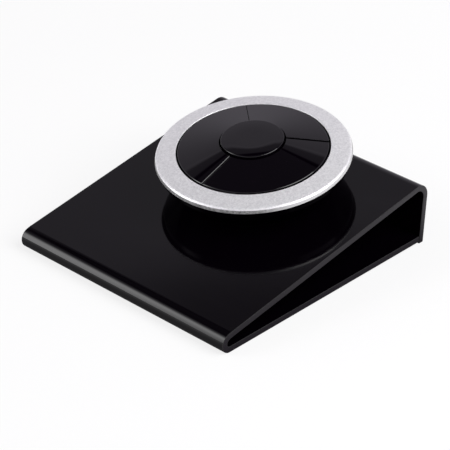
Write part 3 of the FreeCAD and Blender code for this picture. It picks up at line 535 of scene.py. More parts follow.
# %% [markdown]
# ## The grooves
#
# Each groove has its own direction, width and rounding.  The directions are whole steps of the
# blank's circle, so that a cut runs beside one of the blank's own edges: a cut that crosses them
# at a slant leaves slivers, which show as streaks in the gloss.  The flats that the file leaves
# lie round one straight line, which runs down the cone beside the groove.

# %% Saw a key off and file its edge
GROOVE_ANGLES = {"right": 43.125, "left": 136.875, "front": 270}
GROOVE_WIDTHS = {"right": 1.2 * MM, "left": 0.24 * MM, "front": 0.45 * MM}
EDGE_ROUNDS = {"right": 0.15 * MM, "left": 0.15 * MM, "front": 0.54 * MM}
FILE_STROKES = (9, 27, 45, 63, 81)
CUT_SLACK = 0.0001 * MM


def cut_away(place, facing):
    """Cut all that lies in front of a plane away, and close the cut."""
    bpy.ops.mesh.select_all(action="SELECT")
    bpy.ops.mesh.bisect(plane_co=place, plane_no=facing, use_fill=True, clear_outer=True, threshold=CUT_SLACK)


def saw_off(groove, turn):
    """Cut along one side of a groove, then file the upper edge round."""
    angle = radians(GROOVE_ANGLES[groove])
    along = Vector((cos(angle), sin(angle), 0))
    inward = Vector((-along.y, along.x, 0)) * turn
    side = inward * GROOVE_WIDTHS[groove] / 2
    cut_away(side, -inward)
    upward = along * sin(KEY_SLOPE) + Vector((0, 0, cos(KEY_SLOPE)))
    apex = Vector((0, 0, key_crown + KEY_BORE * tan(KEY_SLOPE)))
    middle = side + apex + (inward - upward) * EDGE_ROUNDS[groove]
    for stroke in FILE_STROKES:
        facing = upward * cos(radians(stroke)) - inward * sin(radians(stroke))
        cut_away(middle + facing * EDGE_ROUNDS[groove], facing)


def cut_key(name, start, end):
    """A copy of the blank, cut from the side of one groove round to the side of the next."""
    only(key_blank)
    bpy.ops.object.duplicate()
    piece = bpy.context.object
    piece.name = name
    edit(piece)
    saw_off(start, 1)
    saw_off(end, -1)
    leave_edit()
    return piece


print("grooves at", GROOVE_ANGLES)

# %% Round a key's corners in plan
OUTER_CORNER = 1.0 * MM
INNER_CORNER = 0.6 * MM
CORNER_STEPS = 6
UPRIGHT_RISE = 1.6 * MM
BORE_SLACK = 0.1 * MM


def at_outer_corner(edge):
    """A test for the edges where a sawn side meets the outer wall, up over its rounding."""
    top = max(vertex.co.z for vertex in edge.verts) > KEY_EDGE - 2 * KEY_ROUND
    reach = min(hypot(*vertex.co.xy) for vertex in edge.verts)
    return is_square(edge) and top and reach > KEY_RADIUS - 1.5 * KEY_ROUND


def at_inner_corner(edge):
    """A test for the upright edges where a sawn side meets the bore."""
    upright = abs(edge.verts[0].co.z - edge.verts[1].co.z) > UPRIGHT_RISE
    in_bore = all(near(hypot(*vertex.co.xy), KEY_BORE, BORE_SLACK) for vertex in edge.verts)
    return is_square(edge) and upright and in_bore


def round_corners(piece):
    edit(piece)
    counts = []
    for test, size in ((at_outer_corner, OUTER_CORNER), (at_inner_corner, INNER_CORNER)):
        counts.append(pick_edges(test))
        bpy.ops.mesh.bevel(offset=size, segments=CORNER_STEPS, affect="EDGES", clamp_overlap=True)
    leave_edit()
    print(f"{piece.name}: {counts} edges rounded in plan, outside and at the bore")


print("outer corners", OUTER_CORNER / MM, "mm, inner corners", INNER_CORNER / MM, "mm")

# %% Make the three keys
KEY_SPANS = {"rear": ("right", "left"), "left": ("left", "front"), "right": ("front", "right")}
keys = {}
for key_name, (key_start, key_end) in KEY_SPANS.items():
    keys[key_name] = cut_key(key_name + "_petal", key_start, key_end)
    round_corners(keys[key_name])
bpy.data.objects.remove(key_blank)
for piece in keys.values():
    shade(piece)
    tilt_on_slope(piece)
    tell(piece)

# %% [markdown]
# ## Finishes: small tools for shader nodes
#
# A finish is a small network of nodes.  The first helper below adds one node, fills its sockets
# with values or joins them to other nodes, and hands the node back, so that a network reads like
# a recipe.  The next three blend values and colours, which every finish does.

# %% Add and join nodes
def add(tree, kind, sockets=None, **settings):
    """Add a shader node; a socket's entry is a value, or an output of another node."""
    made = tree.nodes.new("ShaderNode" + kind)
    for setting, value in settings.items():
        setattr(made, setting, value)
    for name, value in (sockets or {}).items():
        if isinstance(value, bpy.types.NodeSocket):
            tree.links.new(value, made.inputs[name])
        else:
            made.inputs[name].default_value = value
    return made


def blend(tree, share, low, high):
    """Blend from low to high by a share between 0 and 1."""
    return add(tree, "MapRange", {"Value": share, "To Min": low, "To Max": high}).outputs["Result"]


def tint(tree, share, first, second):
    """Blend from a first to a second colour by a share between 0 and 1."""
    mix = add(tree, "Mix", data_type="RGBA")
    for socket, value in zip((mix.inputs[0], mix.inputs[6], mix.inputs[7]), (share, first, second)):
        if isinstance(value, bpy.types.NodeSocket):
            tree.links.new(value, socket)
        else:
            socket.default_value = value
    return mix.outputs[2]


def mix_values(tree, share, first, second):
    """Blend from a first to a second output by a share between 0 and 1."""
    return add(tree, "Mix", {0: share, 2: first, 3: second}, data_type="FLOAT").outputs[0]


print("helpers for nodes are ready")

# %% [markdown]
# ## Groups, and the start of a material
#
# Effects that several finishes share are node groups with named inputs and outputs.  A finish
# uses a group with values of its own, and every pattern starts from Object coordinates, so that
# it stays on the piece when the piece moves.

# %% Start a group, and use it
def start_group(name, inputs, outputs):
    """Start a node group with value inputs and value outputs."""
    tree = bpy.data.node_groups.new(name, "ShaderNodeTree")
    for label, value in inputs.items():
        socket = tree.interface.new_socket(label, in_out="INPUT", socket_type="NodeSocketFloat")
        socket.default_value = value
    for label in outputs:
        tree.interface.new_socket(label, in_out="OUTPUT", socket_type="NodeSocketFloat")
    entry = tree.nodes.new("NodeGroupInput").outputs
    result = tree.nodes.new("NodeGroupOutput").inputs
    place = add(tree, "TexCoord").outputs["Object"]
    return tree, entry, result, place


def use_group(tree, group, **values):
    """Place a group in a material with its own values, and hand its outputs back."""
    made = add(tree, "Group", node_tree=group)
    for label, value in values.items():
        made.inputs[label].default_value = value
    return made.outputs


print("helpers for groups are ready")

# %% Start a material, and mix its greys
def start_finish(name, roughness, **constants):
    """A material with one Principled shader; constants are set on its own sockets."""
    material = bpy.data.materials.new(name)
    material.use_nodes = True
    tree = material.node_tree
    surface = tree.nodes["Principled BSDF"]
    surface.inputs["Roughness"].default_value = roughness
    for label, value in constants.items():
        surface.inputs[label.replace("_", " ")].default_value = value
    place = add(tree, "TexCoord").outputs["Object"]
    return material, tree, surface, place


def grey(level, warm=0.0):
    """A grey, and a share by which red is above it and blue below."""
    return (level * (1 + warm), level, level * (1 - warm), 1)


def ink(level):
    """Deep black that leans a little to violet, as dyed gloss plastic does."""
    return (1.3 * level, 0.5 * level, 1.8 * level, 1)


print("ready for materials")

# %% [markdown]
# ## Shared effects
#
# Four effects turn up on several finishes.  Handling leaves faint wiped smears that make gloss
# a little duller in places.  Moulded plastic has a skin like very fine orange peel.  A few dust
# specks sit on everything black.  And bare or drawn metal carries fine parallel marks.

# %% Wiped smears, moulded skin, dust and drawn marks
def make_smears():
    tree, entry, result, place = start_group("wiped_smears", {"Size": 14.0}, ["Mask"])
    stretch = add(tree, "Mapping", {"Vector": place, "Rotation": (0, 0, radians(35)), "Scale": (1, 3.5, 1)})
    smear = add(tree, "TexNoise", {
        "Vector": stretch.outputs[0], "Scale": entry["Size"], "Detail": 5.0, "Roughness": 0.6})
    mask = add(tree, "MapRange", {"Value": smear.outputs["Fac"], "From Min": 0.45, "From Max": 0.75})
    tree.links.new(mask.outputs["Result"], result["Mask"])
    return tree


def make_skin():
    tree, entry, result, place = start_group("moulded_skin", {"Size": 900.0}, ["Height", "Patch"])
    peel = add(tree, "TexNoise", {"Vector": place, "Scale": entry["Size"], "Detail": 2.0, "Roughness": 0.5})
    slow = add(tree, "TexNoise", {"Vector": place, "Scale": 45.0, "Detail": 3.0})
    tree.links.new(peel.outputs["Fac"], result["Height"])
    tree.links.new(slow.outputs["Fac"], result["Patch"])
    return tree


def make_dust():
    tree, entry, result, place = start_group("dust_specks", {"Size": 350.0, "Amount": 0.06}, ["Mask"])
    cells = add(tree, "TexVoronoi", {"Vector": place, "Scale": entry["Size"]})
    pick_few = add(tree, "Math", {0: cells.outputs["Color"], 1: entry["Amount"]}, operation="LESS_THAN")
    speck = add(tree, "MapRange", {
        "Value": cells.outputs["Distance"], "From Min": 0.16, "From Max": 0.07, "To Min": 0.0, "To Max": 1.0})
    mask = add(tree, "Math", {0: pick_few.outputs[0], 1: speck.outputs["Result"]}, operation="MULTIPLY")
    tree.links.new(mask.outputs[0], result["Mask"])
    return tree


def make_drawn_marks():
    tree, entry, result, place = start_group("drawn_marks", {"Size": 1500.0}, ["Height", "Mask"])
    stretch = add(tree, "Mapping", {"Vector": place, "Scale": (0.04, 1, 1)})
    marks = add(tree, "TexNoise", {
        "Vector": stretch.outputs[0], "Scale": entry["Size"], "Detail": 4.0, "Roughness": 0.7})
    mask = add(tree, "MapRange", {"Value": marks.outputs["Fac"], "From Min": 0.3, "From Max": 0.7})
    tree.links.new(marks.outputs["Fac"], result["Height"])
    tree.links.new(mask.outputs["Result"], result["Mask"])
    return tree


SMEARS, SKIN, DUST, DRAWN = make_smears(), make_skin(), make_dust(), make_drawn_marks()
print("shared effects:", [group.name for group in bpy.data.node_groups])

# %% [markdown]
# ## Gloss black acrylic
#
# The sheet is polished on both faces and only sawn at its two sides.  So one finish holds both:
# masks that grow near the two ends of the X axis turn the polish first into the dull grey of a
# scraped edge on the small bevel, lightened further as a painted highlight along that arris, and
# then into a dark satin cut with saw marks.  The polished part has smears and specks, and the
# sheet has the very slow wave that heat bending leaves.

# %% Masks and relief of the sheet
WAVE_DEPTH = 0.04 * MM
SAW_DEPTH = 0.04 * MM


def near_rim(tree, place, first, last):
    """A mask that grows between two distances from the sheet's sides, in shares of the bevel."""
    side = add(tree, "SeparateXYZ", {"Vector": place}).outputs["X"]
    from_middle = add(tree, "Math", {0: side}, operation="ABSOLUTE").outputs[0]
    rim = stand_high.x
    mask = add(tree, "MapRange", {
        "Value": from_middle, "From Min": rim - first * SAWN_BEVEL, "From Max": rim - last * SAWN_BEVEL})
    return mask.outputs["Result"]


def sheet_relief(tree, place, saw_marks):
    """The slow wave of a heated sheet, and saw marks on top of it."""
    wave = add(tree, "TexNoise", {"Vector": place, "Scale": 18.0, "Detail": 1.0}).outputs["Fac"]
    slow = add(tree, "Bump", {"Height": wave, "Strength": 1.0, "Distance": WAVE_DEPTH})
    relief = add(tree, "Bump", {
        "Height": saw_marks, "Strength": 0.5, "Distance": SAW_DEPTH, "Normal": slow.outputs["Normal"]})
    return relief.outputs["Normal"]


print("the sheet waves by", WAVE_DEPTH / MM, "mm")

# %% Make the acrylic
def make_acrylic():
    material, tree, surface, place = start_finish("gloss_acrylic", 0.08, IOR=1.49, Specular_IOR_Level=0.3)
    smears = use_group(tree, SMEARS, Size=14.0)["Mask"]
    dust = use_group(tree, DUST, Size=260.0, Amount=0.05)["Mask"]
    broken = near_rim(tree, place, 1.0, 0.8)
    sawn = near_rim(tree, place, 0.3, 0.1)
    saw = {"Vector": place, "Scale": 420.0, "Distortion": 6.0, "Detail": 3.0, "Detail Scale": 2.0}
    marks = add(tree, "TexWave", saw, bands_direction="Y").outputs["Fac"]
    polished = tint(tree, dust, ink(0.0007), grey(0.02, 0.05))
    # The bevel's grey is partly a scraped edge and partly a painted highlight along the arris.
    scraped_and_highlight_grey = tint(tree, smears, grey(0.030), grey(0.013))
    cut = tint(tree, marks, ink(0.0015), ink(0.004))
    edge = tint(tree, sawn, tint(tree, broken, polished, scraped_and_highlight_grey), cut)
    tree.links.new(edge, surface.inputs["Base Color"])
    gloss = blend(tree, smears, 0.065, 0.095)
    satin = blend(tree, marks, 0.3, 0.42)
    tree.links.new(mix_values(tree, broken, gloss, satin), surface.inputs["Roughness"])
    saw_marks = add(tree, "Math", {0: marks, 1: sawn}, operation="MULTIPLY").outputs[0]
    tree.links.new(sheet_relief(tree, place, saw_marks), surface.inputs["Normal"])
    return material


ACRYLIC = make_acrylic()
print("made", ACRYLIC.name)

# %% [markdown]
# ## Silver paint
#
# The ring is plastic with metallic paint: tiny flakes in a clear binder.  Cells of two Voronoi
# textures, one fine and one twice as coarse, stand for the flakes.  Each cell has its own
# brightness, dullness and height, which gives the speckle that moves with the light, and the
# paint stays satin rather than mirror-like.  On the ring's side the silver is darkened as painted
# shade, and it turns paler towards the right-hand end as painted light.

# %% Make the silver paint
FINE_FLAKES, COARSE_FLAKES = 2600.0, 1300.0
# The side's painted light: the grey it pales to, and where along X it starts and ends.
PAINTED_LIGHT_GREY = grey(0.6)
PAINTED_LIGHT_ENDS = (30.0 * MM, 43.0 * MM)


def flake_field(tree, place):
    """A value for each flake: half from the fine cells and half from the coarse ones."""
    fine = add(tree, "TexVoronoi", {"Vector": place, "Scale": FINE_FLAKES}).outputs["Color"]
    coarse = add(tree, "TexVoronoi", {"Vector": place, "Scale": COARSE_FLAKES}).outputs["Color"]
    fine_value = add(tree, "SeparateColor", {"Color": fine}).outputs["Red"]
    coarse_value = add(tree, "SeparateColor", {"Color": coarse}).outputs["Green"]
    return mix_values(tree, 0.5, fine_value, coarse_value)


def paint_light_towards_right(tree, place, paint):
    """Painted light: the side's dark silver turns paler between two places along X, towards the right."""
    side = add(tree, "SeparateXYZ", {"Vector": place}).outputs["X"]
    lit_share = add(tree, "MapRange", {"Value": side, "From Min": PAINTED_LIGHT_ENDS[0], "From Max": PAINTED_LIGHT_ENDS[1]},
                  interpolation_type="SMOOTHSTEP")
    return tint(tree, lit_share.outputs["Result"], paint, PAINTED_LIGHT_GREY)


def make_silver_paint(name, dark_flake, bright_flake, relief_depth, misted=False):
    material, tree, surface, place = start_finish(name, 0.42, Metallic=0.45, IOR=1.5)
    flakes = flake_field(tree, place)
    paint = tint(tree, flakes, dark_flake, bright_flake)
    if misted:
        paint = paint_light_towards_right(tree, place, paint)
    tree.links.new(paint, surface.inputs["Base Color"])
    tree.links.new(blend(tree, flakes, 0.36, 0.48), surface.inputs["Roughness"])
    skin = use_group(tree, SKIN, Size=700.0)
    peel = add(tree, "Bump", {"Height": skin["Height"], "Strength": 0.35, "Distance": relief_depth})
    speckle = add(tree, "Bump", {
        "Height": flakes, "Strength": 0.4, "Distance": relief_depth, "Normal": peel.outputs["Normal"]})
    tree.links.new(speckle.outputs["Normal"], surface.inputs["Normal"])
    return material


SILVER = make_silver_paint("silver_flake_paint", (0.71, 0.71, 0.72, 1), (0.95, 0.95, 0.955, 1), 0.03 * MM)
# The side's silver: darker than the top as painted shade, paler to the right as painted light.
SHADED_SIDE_SILVER = make_silver_paint("silver_side_painted_shade_and_light", grey(0.08), grey(0.42), 0.05 * MM, misted=True)
print("made", SILVER.name, "and", SHADED_SIDE_SILVER.name)

# %% [markdown]
# ## Moulded plastics
#
# Keys, bowl, door, carrier and switches are injection moulded.  One recipe makes them all: a
# base colour that drifts a little from patch to patch, the orange-peel skin as relief, smears in
# the gloss and some dust.  Only the numbers differ between polished and eroded moulds.

# %% Make the plastics
def make_plastic(name, dark, light, gloss, dull, peel=900.0, depth=0.004, dust=0.03, **constants):
    material, tree, surface, place = start_finish(name, gloss, **constants)
    skin = use_group(tree, SKIN, Size=peel)
    smears = use_group(tree, SMEARS, Size=30.0)["Mask"]
    specks = use_group(tree, DUST, Size=420.0, Amount=dust)["Mask"]
    drift = tint(tree, skin["Patch"], dark, light)
    tree.links.new(tint(tree, specks, drift, grey(0.12)), surface.inputs["Base Color"])
    tree.links.new(blend(tree, smears, gloss, dull), surface.inputs["Roughness"])
    relief = add(tree, "Bump", {"Height": skin["Height"], "Strength": 0.5, "Distance": depth * MM})
    tree.links.new(relief.outputs["Normal"], surface.inputs["Normal"])
    return material


KEY_GLOSS = make_plastic("polished_black_keys", ink(0.0007), ink(0.0012), 0.02, 0.04,
                         depth=0.0006, dust=0.015, IOR=1.5)
BOWL_GLOSS = make_plastic("polished_black_bowl", ink(0.0003), ink(0.0006), 0.08, 0.14,
                          dust=0.01, IOR=1.5, Specular_IOR_Level=0.05)
CARRIER_BLACK = make_plastic("eroded_black_carrier", grey(0.012), grey(0.02), 0.42, 0.55, depth=0.02)
DOOR_BLACK = make_plastic("eroded_black_door", grey(0.010), grey(0.018), 0.38, 0.5, depth=0.02)
SWITCH_BLACK = make_plastic("switch_case_black", grey(0.012), grey(0.02), 0.35, 0.45, peel=1400.0)
PLUNGER_WHITE = make_plastic("plunger_ivory", grey(0.62, 0.06), grey(0.7, 0.05), 0.35, 0.45, dust=0.0)
CHIP_BLACK = make_plastic("chip_epoxy", grey(0.018), grey(0.028), 0.55, 0.65, peel=2500.0, depth=0.01)
print("plastics made")

# %% [markdown]
# ## Metals
#
# Battery, contacts, crystal can, capacitor and screws are thin drawn or rolled metal.  The marks
# of drawing are stretched noise that dulls the gloss in streaks.  The antenna is copper under
# clear enamel, so it keeps its colour and takes a coat.

# %% Make the metals
def make_metal(name, dark, light, gloss, dull, marks=1500.0, **constants):
    material, tree, surface, place = start_finish(name, gloss, Metallic=1.0, **constants)
    drawn = use_group(tree, DRAWN, Size=marks)
    tree.links.new(tint(tree, drawn["Mask"], dark, light), surface.inputs["Base Color"])
    tree.links.new(blend(tree, drawn["Mask"], gloss, dull), surface.inputs["Roughness"])
    relief = add(tree, "Bump", {"Height": drawn["Height"], "Strength": 0.3, "Distance": 0.004 * MM})
    tree.links.new(relief.outputs["Normal"], surface.inputs["Normal"])
    return material


CELL_STEEL = make_metal("cell_steel", (0.60, 0.60, 0.61, 1), (0.70, 0.70, 0.70, 1), 0.22, 0.34)
CONTACT_STEEL = make_metal("nickel_contacts", (0.62, 0.60, 0.56, 1), (0.72, 0.70, 0.66, 1), 0.18, 0.3)
CAN_METAL = make_metal("crystal_can_metal", (0.58, 0.58, 0.58, 1), (0.68, 0.68, 0.68, 1), 0.2, 0.3)
CAPACITOR_METAL = make_metal("capacitor_metal", (0.5, 0.51, 0.53, 1), (0.62, 0.63, 0.65, 1), 0.25, 0.4)
SCREW_STEEL = make_metal("zinc_screws", (0.52, 0.53, 0.55, 1), (0.64, 0.65, 0.67, 1), 0.25, 0.42, 2500.0)
ANTENNA_COPPER = make_metal("enamelled_copper", (0.45, 0.15, 0.06, 1), (0.62, 0.24, 0.10, 1), 0.3, 0.4,
                            Coat_Weight=0.8, Coat_Roughness=0.1)
print("metals made")

# %% [markdown]
# ## Board, foam and lamp
#
# The circuit board is green solder mask over copper tracks, so a grid of slightly lighter lines
# shows through.  The tape is closed-cell foam, which looks like packed bubbles.  The lamp is a
# clear epoxy body: glass-like, with a little haze.

# %% Make the board, the foam and the lamp
def make_board():
    material, tree, surface, place = start_finish("solder_mask_green", 0.3, IOR=1.5)
    tracks = add(tree, "TexBrick", {
        "Vector": place, "Scale": 330.0, "Mortar Size": 0.05, "Color1": grey(0), "Color2": grey(0),
        "Mortar": grey(1)})
    skin = use_group(tree, SKIN, Size=1500.0)
    mask = tint(tree, skin["Patch"], (0.004, 0.07, 0.025, 1), (0.006, 0.11, 0.04, 1))
    shown = tint(tree, tracks.outputs["Color"], mask, (0.02, 0.17, 0.06, 1))
    tree.links.new(shown, surface.inputs["Base Color"])
    tree.links.new(blend(tree, skin["Patch"], 0.22, 0.38), surface.inputs["Roughness"])
    relief = add(tree, "Bump", {"Height": tracks.outputs["Color"], "Strength": 0.4, "Distance": 0.03 * MM})
    tree.links.new(relief.outputs["Normal"], surface.inputs["Normal"])
    return material


def make_foam():
    material, tree, surface, place = start_finish("foam_tape_black", 0.85, IOR=1.4)
    bubbles = add(tree, "TexVoronoi", {"Vector": place, "Scale": 1800.0}).outputs["Distance"]
    tree.links.new(tint(tree, bubbles, grey(0.03), grey(0.012)), surface.inputs["Base Color"])
    tree.links.new(blend(tree, bubbles, 0.8, 0.95), surface.inputs["Roughness"])
    relief = add(tree, "Bump", {"Height": bubbles, "Strength": 0.8, "Distance": 0.15 * MM})
    tree.links.new(relief.outputs["Normal"], surface.inputs["Normal"])
    return material


def make_lamp():
    material, tree, surface, place = start_finish("lamp_epoxy", 0.06, Transmission_Weight=0.9, IOR=1.54)
    haze = use_group(tree, SKIN, Size=1200.0)
    tree.links.new(tint(tree, haze["Patch"], (0.9, 0.92, 0.9, 1), (0.97, 0.98, 0.97, 1)),
                   surface.inputs["Base Color"])
    tree.links.new(blend(tree, haze["Patch"], 0.04, 0.12), surface.inputs["Roughness"])
    return material


BOARD_GREEN, FOAM, LAMP_EPOXY = make_board(), make_foam(), make_lamp()
print("finishes so far:", len(bpy.data.materials))

# %% [markdown]
# ## Finishes on the pieces
#
# Each material slot of the model gets its finish, on the new pieces and on the engineering
# pieces that keep their own shape.

# %% Hand out the finishes
FINISHES = {
    "black_acrylic": ACRYLIC,
    "foam_tape": FOAM,
    "shell_black": BOWL_GLOSS,
    "silver_paint": SILVER,
    "key_black": KEY_GLOSS,
    "inner_black": CARRIER_BLACK,
    "door_black": DOOR_BLACK,
    "cell_steel": CELL_STEEL,
    "contact_steel": CONTACT_STEEL,
    "board_green": BOARD_GREEN,
    "chip_black": CHIP_BLACK,
    "can_metal": CAN_METAL,
    "capacitor_metal": CAPACITOR_METAL,
    "antenna_wire": ANTENNA_COPPER,
    "lamp_clear": LAMP_EPOXY,
    "switch_black": SWITCH_BLACK,
    "plunger_white": PLUNGER_WHITE,
    "screw_steel": SCREW_STEEL,
}
for engineering_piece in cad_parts.values():
    for piece_slot in engineering_piece.material_slots:
        piece_slot.material = FINISHES[piece_slot.material.name.split(".")[0]]
print("finishes handed out:", len(FINISHES))

# %% [markdown]
# ## Riding on the bodies
#
# Each new piece follows the body of the piece that it stands for, so a pressed key goes down
# with its body, and the engineering piece is hidden.  The ring gets two more finishes, in the
# order of its slots: bare black, and the side's silver with painted shade and painted light.

# %% Tie the pieces to their bodies
STANDS_FOR = [
    (stand_piece, "acrylic_stand", "stand_and_housing", "black_acrylic"),
    (shell_piece, "lower_shell", "stand_and_housing", "shell_black"),
    (ring_piece, "silver_ring", "stand_and_housing", "silver_paint"),
    (cap_piece, "centre_key", "centre_button", "key_black"),
    (keys["rear"], "rear_key", "rear_button", "key_black"),
    (keys["left"], "left_key", "left_button", "key_black"),
    (keys["right"], "right_key", "right_button", "key_black"),
]
for piece, node, body, slot_name in STANDS_FOR:
    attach(piece, body)
    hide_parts(node)
    piece.data.materials.append(FINISHES[slot_name])
ring_piece.data.materials.append(CARRIER_BLACK)
ring_piece.data.materials.append(SHADED_SIDE_SILVER)
print("pieces that stand for engineering nodes:", len(STANDS_FOR))

# %% [markdown]
# ## The floor
#
# The stage is a plain pale floor.  The lamps that would make it look white would be too bright
# for the object, so most of its white is a glow of strength 1 that only the camera and mirror
# images see.  The rest is paper that takes the light and the shadow, and far from the object
# none of it is left.  Close to the stand the glow is dimmed in mirror images as painted shade,
# for the little light that gets in under the lip and along the sawn sides there.

# %% Who sees the glow, and how strong it is
# How far the painted shade reaches from the stand, and the glow left right beside it.
PAINTED_SHADE_REACH = 30.0 * MM
PAINTED_SHADE_GLOW = 0.08


def seen_rays(tree, path):
    """1 for rays from the camera, from a gloss surface or through a clear one, and 0 for others."""
    seen = path.outputs["Is Camera Ray"]
    for kind in ("Is Glossy Ray", "Is Transmission Ray"):
        seen = add(tree, "Math", {0: seen, 1: path.outputs[kind]}, operation="MAXIMUM").outputs[0]
    return seen


def glow_with_painted_shade(tree, path, place):
    """The glow's strength: dimmed beside the stand as painted shade, but at its full 1 for the camera."""
    beside = add(tree, "VectorMath", {0: place}, operation="ABSOLUTE").outputs[0]
    stand_half = (stand_high.x, stand_high.y, 0)
    outside = add(tree, "VectorMath", {0: beside, 1: stand_half}, operation="SUBTRACT").outputs[0]
    outside = add(tree, "VectorMath", {0: outside, 1: (0, 0, 0)}, operation="MAXIMUM").outputs[0]
    distance = add(tree, "VectorMath", {0: outside}, operation="LENGTH").outputs["Value"]
    glow = add(tree, "MapRange", {"Value": distance, "From Max": PAINTED_SHADE_REACH, "To Min": PAINTED_SHADE_GLOW})
    camera_ray = path.outputs["Is Camera Ray"]
    return add(tree, "Math", {0: glow.outputs["Result"], 1: camera_ray}, operation="MAXIMUM").outputs[0]


print("the glow is dimmed within", PAINTED_SHADE_REACH / MM, "mm of the stand")

# %% Make the floor's paper
WHITE_SHARE = 0.8
PAPER_NEAR, PAPER_FAR = 0.3, 0.9


def make_floor_paper():
    material = bpy.data.materials.new("floor_paper")
    material.use_nodes = True
    tree = material.node_tree
    tree.nodes.clear()
    place = add(tree, "TexCoord").outputs["Object"]
    path = add(tree, "LightPath")
    away = add(tree, "VectorMath", {0: place}, operation="LENGTH").outputs["Value"]
    white = add(tree, "MapRange", {
        "Value": away, "From Min": PAPER_NEAR, "From Max": PAPER_FAR, "To Min": WHITE_SHARE, "To Max": 1.0})
    share = add(tree, "Math", {0: seen_rays(tree, path), 1: white.outputs["Result"]}, operation="MULTIPLY")
    fibres = add(tree, "TexNoise", {"Vector": place, "Scale": 300.0, "Detail": 6.0}).outputs["Fac"]
    paper = add(tree, "BsdfDiffuse", {"Color": tint(tree, fibres, grey(0.88), grey(0.92))})
    glow = add(tree, "Emission", {"Color": grey(1.0), "Strength": glow_with_painted_shade(tree, path, place)})
    mixed = add(tree, "MixShader", {0: share.outputs[0], 1: paper.outputs[0], 2: glow.outputs[0]})
    add(tree, "OutputMaterial", {"Surface": mixed.outputs[0]})
    return material


FLOOR_PAPER = make_floor_paper()
print("made", FLOOR_PAPER.name)

# %% Lay the floor
FLOOR_SIZE = 8
bpy.ops.object.select_all(action="DESELECT")
bpy.ops.mesh.primitive_plane_add(size=FLOOR_SIZE)
floor = bpy.context.object
floor.name = "studio_floor"
floor.data.materials.append(FLOOR_PAPER)
print("floor laid:", [round(v, 1) for v in floor.dimensions])

# %% [markdown]
# ## The room
#
# Gloss black shows what stands around it and hardly anything of its own colour, so the world is
# painted as a room.  Its walls are pale and its ceiling is dark, and the cap, the keys and the
# slope look up at the ceiling.  A direction's brightness comes from how near it is to the middle
# of the dark.  Each pair below is a nearness and a brightness, from the floor up: even walls, a
# thin pale rail where they end, a dim border, a black gap, and the ceiling.  A second, smaller
# dark patch leans to the front: it takes a little light off the ring, and the front rim of the
# cap mirrors it.

# %% Paint the walls and the ceiling
ROOM_TINT = (1.04, 0.98, 1.10)
WALLS = [(0.0, 0.46), (0.60, 0.46), (0.80, 0.37), (0.847, 0.35), (0.860, 0.345)]
PALE_RAIL = [(0.868, 0.40)]
DIM_BORDER = [(0.877, 0.26), (0.880, 0.14), (0.907, 0.12)]
BLACK_GAP = [(0.911, 0.0), (0.918, 0.0)]
CEILING = [(0.922, 0.055), (1.0, 0.055)]
ROOM_LIGHT = WALLS + PALE_RAIL + DIM_BORDER + BLACK_GAP + CEILING
DARK_CEILING = Vector((-0.268, 0.135, 1.0)).normalized()
DARK_FRONT = Vector((0.24, -0.28, 0.93)).normalized()
FRONT_REACH = -0.02


def alignment(tree, direction, goal):
    """How far a direction points the same way as a goal: 1 along it, 0 across it."""
    return add(tree, "VectorMath", {0: direction, 1: goal}, operation="DOT_PRODUCT").outputs["Value"]


def paint_walls(tree, direction):
    """A background of walls and ceiling, by nearness to the two dark patches."""
    above = alignment(tree, direction, DARK_CEILING)
    front = alignment(tree, direction, DARK_FRONT)
    front = add(tree, "Math", {0: front, 1: FRONT_REACH}, operation="ADD").outputs[0]
    darkness = add(tree, "Math", {0: above, 1: front}, operation="MAXIMUM").outputs[0]
    ramp = add(tree, "ValToRGB", {"Fac": darkness})
    while len(ramp.color_ramp.elements) < len(ROOM_LIGHT):
        ramp.color_ramp.elements.new(0.5)
    for stop, (nearness, brightness) in zip(ramp.color_ramp.elements, ROOM_LIGHT):
        stop.position = nearness
        stop.color = (*[brightness * part for part in ROOM_TINT], 1)
    return add(tree, "Background", {"Color": ramp.outputs["Color"], "Strength": 1.0}).outputs[0]


print("walls and ceiling in", len(ROOM_LIGHT), "steps")

# %% [markdown]
# ## The window
#
# A tall window with soft sides stands at the front left and fades out upwards.  The bent lip
# mirrors it from end to end as one long light line, and the ring's edge and the keys' rim catch
# it at the left.

# %% Open the window and hang the world
WINDOW_TURN = radians(-133)
WINDOW_FACING = Vector((cos(WINDOW_TURN), sin(WINDOW_TURN), 0))
WINDOW_ACROSS = Vector((-sin(WINDOW_TURN), cos(WINDOW_TURN), 0))
WINDOW_LIGHT = 5.6
WINDOW_HALF_WIDTH = 0.30
WINDOW_CORE = 0.02
WINDOW_TOP, WINDOW_FADE = 0.85, 0.55


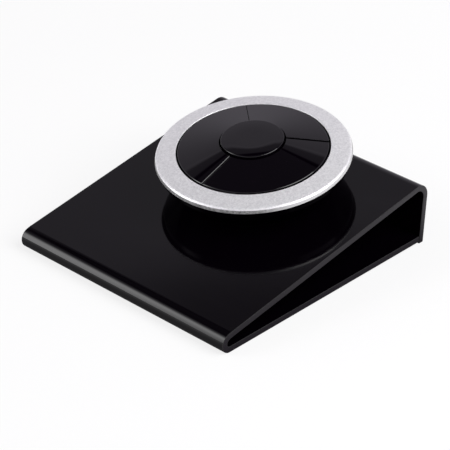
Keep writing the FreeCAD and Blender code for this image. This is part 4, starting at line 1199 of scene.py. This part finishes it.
def open_window(tree, direction):
    """A background that glows in the window alone: in front, across its width, below its top."""
    in_front = add(tree, "Math", {0: alignment(tree, direction, WINDOW_FACING), 1: 0.0},
                   operation="GREATER_THAN").outputs[0]
    off_centre = add(tree, "Math", {0: alignment(tree, direction, WINDOW_ACROSS)},
                     operation="ABSOLUTE").outputs[0]
    sideways = add(tree, "MapRange", {
        "Value": off_centre, "From Min": WINDOW_HALF_WIDTH, "From Max": WINDOW_CORE,
        "To Max": WINDOW_LIGHT}, interpolation_type="SMOOTHSTEP").outputs["Result"]
    rise = add(tree, "SeparateXYZ", {"Vector": direction}).outputs["Z"]
    below_top = add(tree, "MapRange", {"Value": rise, "From Min": WINDOW_TOP, "From Max": WINDOW_FADE},
                    interpolation_type="SMOOTHSTEP").outputs["Result"]
    glow = add(tree, "Math", {0: sideways, 1: below_top}, operation="MULTIPLY").outputs[0]
    glow = add(tree, "Math", {0: glow, 1: in_front}, operation="MULTIPLY").outputs[0]
    return add(tree, "Background", {"Color": grey(1.0), "Strength": glow}).outputs[0]


world = bpy.data.worlds.new("studio_room")
bpy.context.scene.world = world
world.use_nodes = True
room = world.node_tree
room.nodes.clear()
looking = add(room, "TexCoord").outputs["Generated"]
both = add(room, "AddShader", {0: paint_walls(room, looking), 1: open_window(room, looking)})
add(room, "OutputWorld", {"Surface": both.outputs[0]})
print("world painted:", world.name, "with", len(room.nodes), "nodes")

# %% [markdown]
# ## The lamp
#
# One soft box hangs high on the right.  It gives the ring and the floor their light, and the
# rounded edges of the keys, the grooves and the cap mirror it as thin bright lines.

# %% Hang the soft box
def hang_soft_box(name, toward, distance, width, power):
    """A square lamp in a direction from the object, turned to face it."""
    data = bpy.data.lights.new(name, "AREA")
    data.shape = "RECTANGLE"
    data.size, data.size_y = width, width
    data.energy = power
    lamp = bpy.data.objects.new(name, data)
    bpy.context.collection.objects.link(lamp)
    toward = Vector(toward).normalized()
    lamp.location = toward * distance
    lamp.rotation_mode = "QUATERNION"
    lamp.rotation_quaternion = toward.to_track_quat("Z", "X")
    return lamp


main_box = hang_soft_box("main_soft_box", (0.68, 0.20, 0.70), distance=1.5, width=1.2, power=23)
print("soft box:", main_box.name, "at", [round(v, 2) for v in main_box.location])

# %% [markdown]
# ## Last settings
#
# The colours are shown as they are, with the Standard view.  The dressed model has the width and
# depth of the engineering model, and the cap's crown stands less than half a millimetre higher.

# %% Finish
bpy.context.scene.view_settings.view_transform = "Standard"
